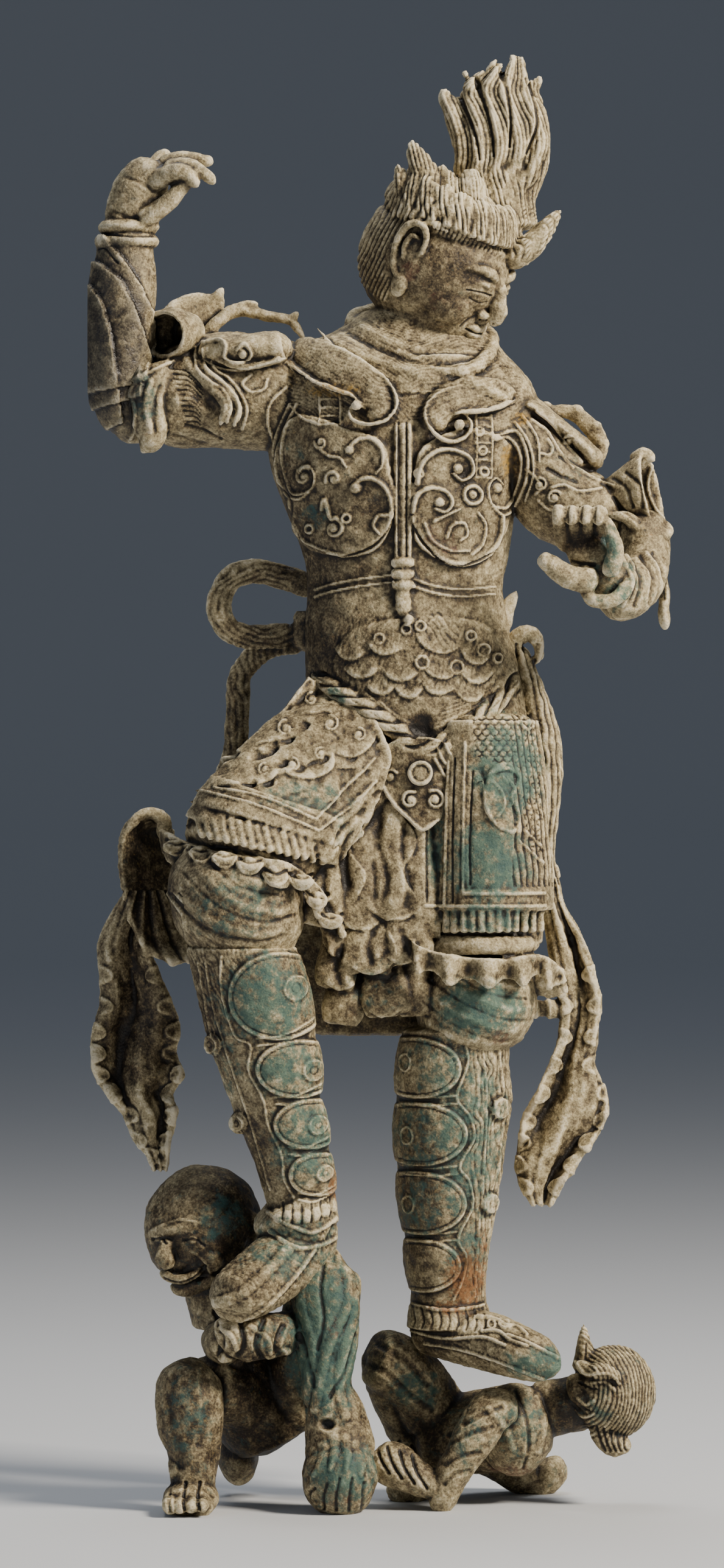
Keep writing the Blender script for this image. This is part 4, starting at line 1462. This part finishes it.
def carveLegs(skin):
    x, _, z = skin["co"].T
    # plates with a rolled edge, each with a ringed boss near the shin
    for px, pz, wide, tall in legs["plates"]:
        away = ovalReach(skin, px, pz, wide, tall, frontView)
        lift = legs["plateRise"] * step(1.06, 0.98, away) + legs["plateBulge"] * np.clip(1 - away**2, 0, 1)
        skin["swell"] += lift * step(0.35, -0.1, skin["normal"][:, 1])
        ring(skin, px, pz, wide, tall, 1.8, 0.7)
        ring(skin, px, pz, wide - 2.6, tall - 2.6, 1.4, -0.6)
    for px, pz, radius in legs["bosses"]:
        disc(skin, px, pz, radius * 1.05, radius * 1.15, 0.9)
        ring(skin, px, pz, radius, radius * 1.1, 1.7, 1.4)
        ring(skin, px, pz, radius * 0.4, radius * 0.45, 1.2, -0.5)
    for px, pz in ((30, 283), (31, 237), (32, 193)):
        ring(skin, px, pz, 3.4, 5.4, 1.5, 1.0)
    # double bands between the plates
    for start, middle, end in (((-66, 296), (-48, 299), (-27, 311)), ((-54, 259), (-42, 260), (-23, 269)),
            ((-46, 227), (-36, 227), (-19, 235)), ((-40, 198), (-30, 197), (-16, 203))):
        for lift in (0, 4.6):
            stroke(skin, [[px, pz + lift] for px, pz in (start, middle, end)], 1.6, 1.0)
    for pz in (257, 262, 212, 217, 170, 175):
        stroke(skin, [22, pz + 1, 42, pz - 0.5, 60, pz + 1], 1.6, 0.9)
    # rims beside the plates: one follows them, the others run down to the ankle
    stroke(skin, [-88, 352, -88, 330, -80, 303, -70, 296, -71, 280, -62, 262, -59, 246, -51, 228, -49, 212,
        -43, 200], 1.9, 1.0)
    for shift in (0, 8):
        stroke(skin, [-98 - shift * 0.6, 348, -93 - shift * 0.6, 318, -82 - shift, 282, -70 - shift, 246,
            -58 - shift * 0.6, 204], 1.8, 0.9)
    stroke(skin, [64, 300, 67, 284, 60, 262, 68, 250, 71, 236, 62, 218, 68, 208, 70, 192, 61, 172, 66, 160,
        64, 146, 58, 132], 2.0, 1.1)
    strokes(skin, [[76, 298, 79, 258, 77, 210, 73, 160, 72, 134], [87, 292, 90, 262],
        [90, 244, 87, 216, 83, 202], [82, 182, 79, 156, 77, 134]], 1.8, 0.8)
    comb(skin, x + 0.05 * z, 3.4, 0.5, step(66, 72, x) * step(128, 136, z) * step(300, 288, z), 0.9)
    comb(skin, x + 0.5 * z, 3.2, 0.35, step(-84, -92, x + 0.28 * (300 - z)) * step(196, 206, z) * (x < 0),
        0.9)
    # frilled anklets
    for k in range(8):
        share = k / 7
        px, pz = mix(-53, -11, share), mix(188, 197, share) - 4 * math.sin(share * math.pi)
        dome(skin, px, pz, 3.4, 4.6, 1.3)
        stroke(skin, [px + 3, pz + 8, px + 3.5, pz + 2, px + 3, pz - 4], 2.0, -0.7)
    strokes(skin, [[-60, 190, -44, 182, -30, 178, -12, 188], [-58, 178, -40, 168, -18, 172, -11, 180],
        [-62, 190, -74, 176, -88, 160, -96, 148], [-30, 166, -44, 148, -60, 132, -74, 122]], 3.4, 1.5)
    stroke(skin, [-46, 168, -62, 152, -78, 140, -94, 134], 8, 1.6)
    for k in range(9):
        stroke(skin, [32 + 5.6 * k, 127, 33.5 + 5.6 * k, 119, 32 + 5.6 * k, 114], 2.0, -0.7)
    strokes(skin, [[30, 129, 52, 126, 78, 128], [29, 112, 52, 108, 76, 110, 90, 106],
        [72, 122, 84, 121, 92, 117, 98, 118, 104, 112], [76, 114, 86, 114, 94, 109, 104, 106],
        [92, 112, 104, 108, 118, 101, 130, 94], [40, 104, 64, 101, 92, 93, 116, 84]], 2.6, 1.6)
    ring(skin, 90, 119, 3, 3, 1.8, 1.4)
    ring(skin, 82, 118, 2.4, 2.6, 1.6, 1.2)
    # the worn leather-like skin of the boots
    boots = np.where(x < 0, step(188, 178, z), step(112, 104, z))
    comb(skin, 0.7 * x + z + 6 * noiseAt(skin["co"], 18, 61), 5.0, 0.25, boots, 1.2)
    patches(skin, "verdigris", [[-62, 326, 40, 38, 0.72], [-48, 280, 32, 26, 0.68],
        [-38, 235, 28, 40, 0.66], [50, 282, 32, 26, 0.55], [66, 235, 34, 80, 0.62], [40, 238, 30, 40, 0.5],
        [38, 190, 26, 26, 0.5], [66, 165, 22, 26, 0.6], [-45, 168, 44, 26, 0.55], [112, 94, 28, 15, 0.8],
        [-84, 290, 12, 60, 0.4]])
    patches(skin, "rust", [[66, 146, 18, 24, 0.75], [58, 128, 18, 9, 0.55], [-18, 206, 8, 14, 0.6],
        [76, 168, 6, 18, 0.5]])
    patches(skin, "shade", [[38, 195, 16, 90, 0.5], [-98, 300, 14, 60, 0.45], [-70, 225, 14, 40, 0.5],
        [44, 104, 18, 14, 0.75], [-70, 150, 30, 24, 0.35], [-45, 346, 50, 16, 0.3], [60, 298, 40, 10, 0.4],
        [80, 220, 12, 80, -0.3], [-30, 192, 24, 10, -0.4], [80, 116, 26, 8, -0.5],
        [-52, 300, 16, 60, -0.15]])


def carveSquatting(skin):
    x, _, z = skin["co"].T
    # the demon's scowling face, turned down to its right
    strokes(skin, [[-133, 176, -124, 181, -114, 184, -102, 182], [-126, 152, -116, 149, -106, 155],
        [-108, 164, -100, 158, -96, 150], [-128, 164, -131, 158, -128, 152]], 2.2, 0.7)
    strokes(skin, [[-126, 146, -116, 143.5, -106, 147, -99, 155], [-134, 170, -128, 172, -124, 169],
        [-113, 171, -106, 172, -100, 168]], 2.0, -1.4)
    for px, pz in ((-129, 171), (-107, 171.5)):
        dome(skin, px, pz, 3.4, 2.6, 1.6)
    # soft folds of the loincloth over the raised leg
    strokes(skin, [[-30, 162, -38, 146, -38, 128, -32, 108, -34, 88, -36, 70],
        [-14, 160, -8, 146, -10, 128, -20, 108, -26, 86, -30, 66], [-6, 138, -6, 120, -12, 100, -14, 80,
        -10, 62]], 7, 1.5)
    strokes(skin, [[-24, 158, -26, 140, -24, 122, -28, 104], [-40, 112, -34, 96, -30, 80],
        [-4, 112, -10, 92, -20, 74]], 4.0, -1.4)
    # the clenched foot with its leaf-like tufts
    for k in range(6):
        lean = (k - 2.5) * 9
        stroke(skin, [-14 + lean * 0.7, 50 - 0.5 * abs(lean), -13 + lean * 0.95, 42 - 0.6 * abs(lean),
            -15 + lean * 1.1, 32 - 0.5 * abs(lean)], 9, 1.3, taper=0.6)
        stroke(skin, [-10 + lean * 0.9, 26 - 0.4 * abs(lean), -12 + lean * 0.95, 12, -12 + lean * 0.9, 3],
            3.0, -1.2)
    disc(skin, -22, 57, 4.2, 3.2, -4.0, edge=0.5)
    # sinews of the planted leg and the toes
    strokes(skin, [[-118, 86, -122, 68, -116, 46, -114, 30], [-100, 88, -98, 66, -102, 44]], 7, -0.9)
    for k in range(3):
        stroke(skin, [-120 + 9 * k, 20, -121 + 9 * k, 12, -120 + 9 * k, 4], 2.6, -1.8)
    dome(skin, -122, 27, 6, 6, 2.2)
    # the cloth hanging under the king's toe
    strokes(skin, [[-94, 124, -88, 112, -90, 100], [-76, 122, -74, 108, -80, 98],
        [-62, 122, -66, 108, -62, 97], [-50, 118, -54, 106, -50, 98]], 5.0, -2.2)
    strokes(skin, [[-90, 118, -82, 114, -78, 104], [-70, 120, -60, 112, -58, 102]], 4.0, 1.5)
    for px, pz in ((-86, 98), (-72, 96), (-58, 97), (-49, 101)):
        dome(skin, px, pz, 5, 4, 2.0)
    height, size, seed = squatting["lumps"]
    skin["swell"] += height * noiseAt(skin["co"], size, seed)
    patches(skin, "verdigris", [[-24, 110, 30, 60, 0.78], [-12, 25, 28, 26, 0.6], [-90, 185, 18, 20, 0.4],
        [-110, 60, 18, 40, 0.3], [-60, 112, 24, 14, 0.3]])
    patches(skin, "red", [[-18, 118, 9, 12, 0.4], [-16, 12, 14, 9, 0.45]])
    patches(skin, "shade", [[-112, 160, 30, 24, 0.55], [-64, 80, 26, 40, 0.8], [-60, 120, 22, 14, 0.5],
        [-66, 36, 40, 26, 0.75], [-112, 60, 24, 44, 0.35]])
    skin["shade"] = np.maximum(skin["shade"], 0.8 * step(-112, -88, x - 0.4 * (z - 180)) * (z > 134)
        * (x < -55))


def carveLying(skin):
    x, y, z = skin["co"].T
    # hair combed round the head from the horn to the knot, and the face that it frames
    hair = step(142, 150, x + 0.2 * np.abs(z - 72)) * (z > 44)
    comb(skin, np.hypot((x - 128) * 1.15, z - 74) + 0.3 * y, lying["hairPitch"], lying["hairDepth"], hair,
        0.35)
    strokes(skin, [[136, 92, 142, 86, 150, 87, 158, 86, 163, 80], [146, 80, 154, 81, 160, 76],
        [137, 70, 142, 66, 147, 69], [136, 62, 141, 58, 147, 60]], 2.6, 1.4)
    strokes(skin, [[142, 94, 143, 104], [138, 80, 144, 77, 150, 76], [139, 64, 144, 62]], 1.8, -1.2)
    for k in range(5):
        stroke(skin, [149 + 4.4 * k, 52 - 1.5 * k, 151 + 4 * k, 44 - 1.5 * k, 154 + 3.6 * k, 36], 2.2, -1.4)
    # sinews and folds along the limbs, the fingers and the seam of the belly
    strokes(skin, [[2, 90, 16, 84, 30, 70, 44, 60], [10, 102, 26, 94, 42, 76]], 6, -1.2)
    strokes(skin, [[64, 56, 76, 62, 88, 66], [56, 44, 68, 50, 82, 54], [52, 30, 62, 36, 74, 38],
        [52, 18, 58, 24, 68, 26]], 4.5, -1.0)
    stroke(skin, [98, 74, 104, 58, 106, 40, 103, 24], 3.5, -1.0)
    strokes(skin, [[80, 66, 90, 54, 96, 38], [112, 70, 116, 54, 112, 36]], 5, 1.0)
    for k in range(4):
        stroke(skin, [8 + 8 * k, 44 - 3 * k, 11 + 8 * k, 34 - 3 * k, 17 + 8 * k, 24 - 3 * k], 2.8, -1.8)
    height, size, seed = lying["lumps"]
    skin["swell"] += height * noiseAt(skin["co"], size, seed) * (x < 134)
    patches(skin, "verdigris", [[35, 72, 20, 18, 0.5], [100, 52, 20, 26, 0.4], [66, 50, 14, 20, 0.3],
        [150, 66, 10, 16, 0.35]])
    patches(skin, "red", [[95, 22, 20, 8, 0.6]])
    patches(skin, "shade", [[8, 98, 20, 18, 0.5], [40, 40, 24, 22, 0.65], [132, 62, 12, 26, 0.9],
        [70, 92, 50, 8, 0.5], [158, 40, 14, 10, 0.5]])


# Finishes

def linear(hexColour):
    parts = [int(hexColour[i:i + 2], 16) / 255 for i in (1, 3, 5)]
    return tuple(p / 12.92 if p <= 0.04045 else ((p + 0.055) / 1.055)**2.4 for p in parts) + (1,)


# Adds a node with its settings. An input is a value or the output that is linked to it.
def addNode(tree, kind, settings, inputs, output=0):
    node = tree.nodes.new(kind)
    for key, value in settings.items():
        setattr(node, key, value)
    for key, value in inputs.items():
        if isinstance(value, bpy.types.NodeSocket):
            tree.links.new(value, node.inputs[key])
        else:
            node.inputs[key].default_value = value
    return node.outputs[output] if len(node.outputs) else node


bronzeLook = {
    # from the hollows, through worn bronze and thin earth, to pale soil crust
    "tones": [(0.00, "#130E09"), (0.20, "#30261A"), (0.38, "#5E513A"), (0.55, "#8E8163"), (0.72, "#BBAD88"),
              (0.90, "#E0D5B8")],
    "verdigris": ("#4F7F7C", 7, 0.85),  # green-blue copper salts: colour, patch size in mm, cover
    "rust": ("#99602E", 4, 0.8),
    "gilt": ("#CFA84E", 3, 0.85),
    "red": ("#7A4638", 5, 0.6),
    "steel": ("#3F4145", 14, 0.6),
    "crustSize": 8.0,         # mm, patches of the crust
    "grainSize": 1.5,         # mm, sand grains, drawn coarser than they are
    "pitSize": 2.4,           # mm, corrosion pits
    "grainDepth": 0.55,       # mm
    "king": (0.52, -0.05),    # lightness, and green above or below the usual
    "demons": (0.44, 0.1),
}


# Cast bronze with a buried patina: rough mineral crust with little shine, darker in its hollows.
def buriedBronze(name, look, who):
    lightness, greenShare = look[who]
    material = bpy.data.materials.new(name)
    material.use_nodes = True
    tree = material.node_tree
    tree.nodes.clear()
    summed = {"operation": "MULTIPLY_ADD"}
    eased = {"interpolation_type": "SMOOTHSTEP"}
    place = addNode(tree, "ShaderNodeTexCoord", {}, {}, "Object")
    layers = {key: addNode(tree, "ShaderNodeAttribute", {"attribute_name": key}, {}, "Fac")
        for key in skinLayers}
    crust, grain, broad = [addNode(tree, "ShaderNodeTexNoise", {},
        {"Vector": place, "Scale": 1 / (size * mm), "Detail": detail, "Roughness": 0.65})
        for size, detail in ((look["crustSize"], 6), (look["grainSize"], 3), (look["crustSize"] * 6, 2))]
    # crust gathers on what stands out, and the hollows stay dark
    level = lightness - 1.06
    for source, weight in ((layers["hollowFine"], 0.17), (layers["hollowBroad"], 0.27), (crust, 0.95),
            (grain, 0.85), (broad, 0.32), (layers["shade"], -0.36)):
        level = addNode(tree, "ShaderNodeMath", summed, {0: source, 1: weight,
            2: level})
    colour = addNode(tree, "ShaderNodeValToRGB", {}, {"Fac": level})
    ramp = colour.node.color_ramp
    for tone, (at, hexColour) in enumerate(look["tones"]):
        stop = ramp.elements[tone] if tone < 2 else ramp.elements.new(at)
        stop.position = at
        stop.color = linear(hexColour)
    for key, extra in (("verdigris", greenShare), ("rust", 0), ("gilt", 0), ("red", 0), ("steel", 0)):
        hexColour, size, cover = look[key]
        spots = addNode(tree, "ShaderNodeTexNoise", {}, {"Vector": place, "Scale": 1 / (size * mm),
            "Detail": 5, "Roughness": 0.7})
        amount = addNode(tree, "ShaderNodeMath", summed, {0: spots, 1: 2.4,
            2: layers[key]})
        amount = addNode(tree, "ShaderNodeMapRange", eased, {"Value": amount,
            "From Min": 1.4 - extra, "From Max": 2.0 - extra, "To Max": cover})
        # a stain keeps the light and dark of the crust that it lies on
        stained = addNode(tree, "ShaderNodeMix", {"data_type": "RGBA", "blend_type": "MULTIPLY"}, {0: 1.0,
            6: colour, 7: linear(hexColour)}, 2)
        stained = addNode(tree, "ShaderNodeMix", {"data_type": "RGBA"}, {0: 0.42, 6: stained,
            7: linear(hexColour)}, 2)
        colour = addNode(tree, "ShaderNodeMix", {"data_type": "RGBA"}, {0: amount, 6: colour, 7: stained},
            2)
    hollow = 0.08
    for source, weight in ((layers["hollowFine"], -0.75), (layers["hollowBroad"], -0.8), (grain, 0.35)):
        hollow = addNode(tree, "ShaderNodeMath", summed, {0: source, 1: weight,
            2: hollow})
    hollow = addNode(tree, "ShaderNodeMapRange", eased, {"Value": hollow,
        "From Min": 0.3, "From Max": 1.15, "To Max": 0.85})
    colour = addNode(tree, "ShaderNodeMix", {"data_type": "RGBA"}, {0: hollow, 6: colour,
        7: linear(look["tones"][0][1])}, 2)

    pits = addNode(tree, "ShaderNodeTexVoronoi", {"feature": "F1"}, {"Vector": place,
        "Scale": 1 / (look["pitSize"] * mm)})
    pits = addNode(tree, "ShaderNodeMapRange", eased, {"Value": pits,
        "From Max": 0.4})
    surface = 0.0
    for source, weight in ((grain, 1.0), (pits, 0.25), (crust, 0.9)):
        surface = addNode(tree, "ShaderNodeMath", summed, {0: source, 1: weight,
            2: surface})
    bump = addNode(tree, "ShaderNodeBump", {}, {"Height": surface, "Strength": 0.9,
        "Distance": look["grainDepth"] * mm})
    roughness = addNode(tree, "ShaderNodeMapRange", {}, {"Value": level, "From Min": 0.2, "From Max": 0.7,
        "To Min": 0.5, "To Max": 0.9})
    roughness = addNode(tree, "ShaderNodeMath", summed, {0: layers["steel"], 1: -0.3,
        2: roughness})
    shader = addNode(tree, "ShaderNodeBsdfPrincipled", {}, {"Base Color": colour, "Roughness": roughness,
        "Normal": bump, "Metallic": 0.15, "Specular IOR Level": 0.4})
    addNode(tree, "ShaderNodeOutputMaterial", {}, {"Surface": shader})
    return material


kingBronze = buriedBronze("sandy bronze patina", bronzeLook, "king")
demonBronze = buriedBronze("green bronze patina", bronzeLook, "demons")
print("finishes ready")

# Each piece: its name, its forms, its carving, the finest cell in mm, its most faces, the CAD node that
# it stands for, its slot and its finish. The king is one casting, in four meshes to keep each one light.
king = ("lokapala", "king_bronze", kingBronze)
castings = [
    ("lokapala_head", [headForms], carveHead, 0.75, 190000, *king),
    ("lokapala_trunk", [trunkForms, rightArmForms, rightForearmForms, leftArmForms, scarfLoopForms],
     carveTrunk, 0.95, 195000, *king),
    ("lokapala_skirts", [skirtForms, backCurlForms, kneeForms, scarfForms], carveSkirts, 1.0, 195000, *king),
    ("lokapala_legs", [legForms], carveLegs, 0.9, 150000, *king),
    ("squatting_demon", [squattingForms], carveSquatting, 1.0, 110000,
     "demon_under_right_foot", "demon_bronze", demonBronze),
    ("lying_demon", [lyingForms], carveLying, 1.0, 90000,
     "demon_under_left_foot", "demon_bronze", demonBronze),
]
for name, makers, carve, voxel, mostFaces, node, slotName, material in castings:
    piece = cast(name, makers, carve, voxel, mostFaces, onFloor=slotName == "demon_bronze")
    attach(piece, "root")
    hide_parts(node)
    piece.data.materials.clear()
    piece.data.materials.append(material)
    print(name, "cast,", len(piece.data.polygons), "faces")


# Floor, light and camera

studio = {
    "distance": 4.0,          # metres from the camera to the figure
    "eyeHeight": 0.460,
    "viewHeight": 1.00464,    # metres that the picture shows from top to bottom
    "sensor": 36,             # mm
    "floorProfile": [(0, 0), (6, 0), (12, 0), (15, 0.3), (17, 1.1), (18.5, 2.6), (19.2, 5)],  # metres
    "floorColour": "#C9CCD0",
    "keyPower": 155,
    "fillPower": 6,
    "topPower": 22,
    "worldColour": "#A9B4C4",
    "worldStrength": 0.25,
}


# A round floor that rises far away, so that no horizon shows.
def paleFloor():
    form = bmesh.new()
    verts = [form.verts.new((x, 0, z)) for x, z in studio["floorProfile"]]
    edges = [form.edges.new(pair) for pair in zip(verts, verts[1:])]
    bmesh.ops.spin(form, geom=verts + edges, cent=(0, 0, 0), axis=(0, 0, 1), angle=turn, steps=64,
        use_merge=True)
    bmesh.ops.remove_doubles(form, verts=form.verts, dist=0.0001)
    bmesh.ops.recalc_face_normals(form, faces=form.faces)
    bmesh.ops.reverse_faces(form, faces=form.faces)
    floor = objectOf("floor", meshOf("floor", form))
    paper = bpy.data.materials.new("pale paper floor")
    paper.use_nodes = True
    shader = paper.node_tree.nodes["Principled BSDF"]
    shader.inputs["Base Color"].default_value = linear(studio["floorColour"])
    shader.inputs["Roughness"].default_value = 0.9
    floor.data.materials.append(paper)
    floor.data.shade_smooth()


def areaLight(name, place, target, size, power, colour="#FFFFFF"):
    data = bpy.data.lights.new(name, "AREA")
    data.size = size
    data.energy = power
    data.color = linear(colour)[:3]
    light = objectOf(name, data)
    light.location = place
    light.rotation_euler = (Vector(target) - Vector(place)).to_track_quat("-Z", "Y").to_euler()


paleFloor()
areaLight("key", (1.95, -1.25, 2.1), (0, 0, 0.5), 0.7, studio["keyPower"], "#FFF4E4")
areaLight("fill", (-2.2, -1.4, 1.0), (0, 0, 0.5), 1.4, studio["fillPower"], "#DDE8FF")
areaLight("top", (-0.3, 0.5, 2.4), (0, 0, 0.5), 1.0, studio["topPower"])
world = bpy.data.worlds.new("studio air")
world.use_nodes = True
world.node_tree.nodes["Background"].inputs["Color"].default_value = linear(studio["worldColour"])
world.node_tree.nodes["Background"].inputs["Strength"].default_value = studio["worldStrength"]
bpy.context.scene.world = world

lens = bpy.data.cameras.new("camera")
lens.sensor_fit = "VERTICAL"
lens.sensor_height = studio["sensor"]
lens.lens = studio["sensor"] * studio["distance"] / studio["viewHeight"]
lens.clip_end = 100
camera = objectOf("camera", lens)
camera.location = (drawnToCad[0] * mm, -studio["distance"] + drawnToCad[1] * mm, studio["eyeHeight"])
camera.rotation_euler = (math.pi / 2, 0, 0)
bpy.context.scene.camera = camera
print("studio ready")
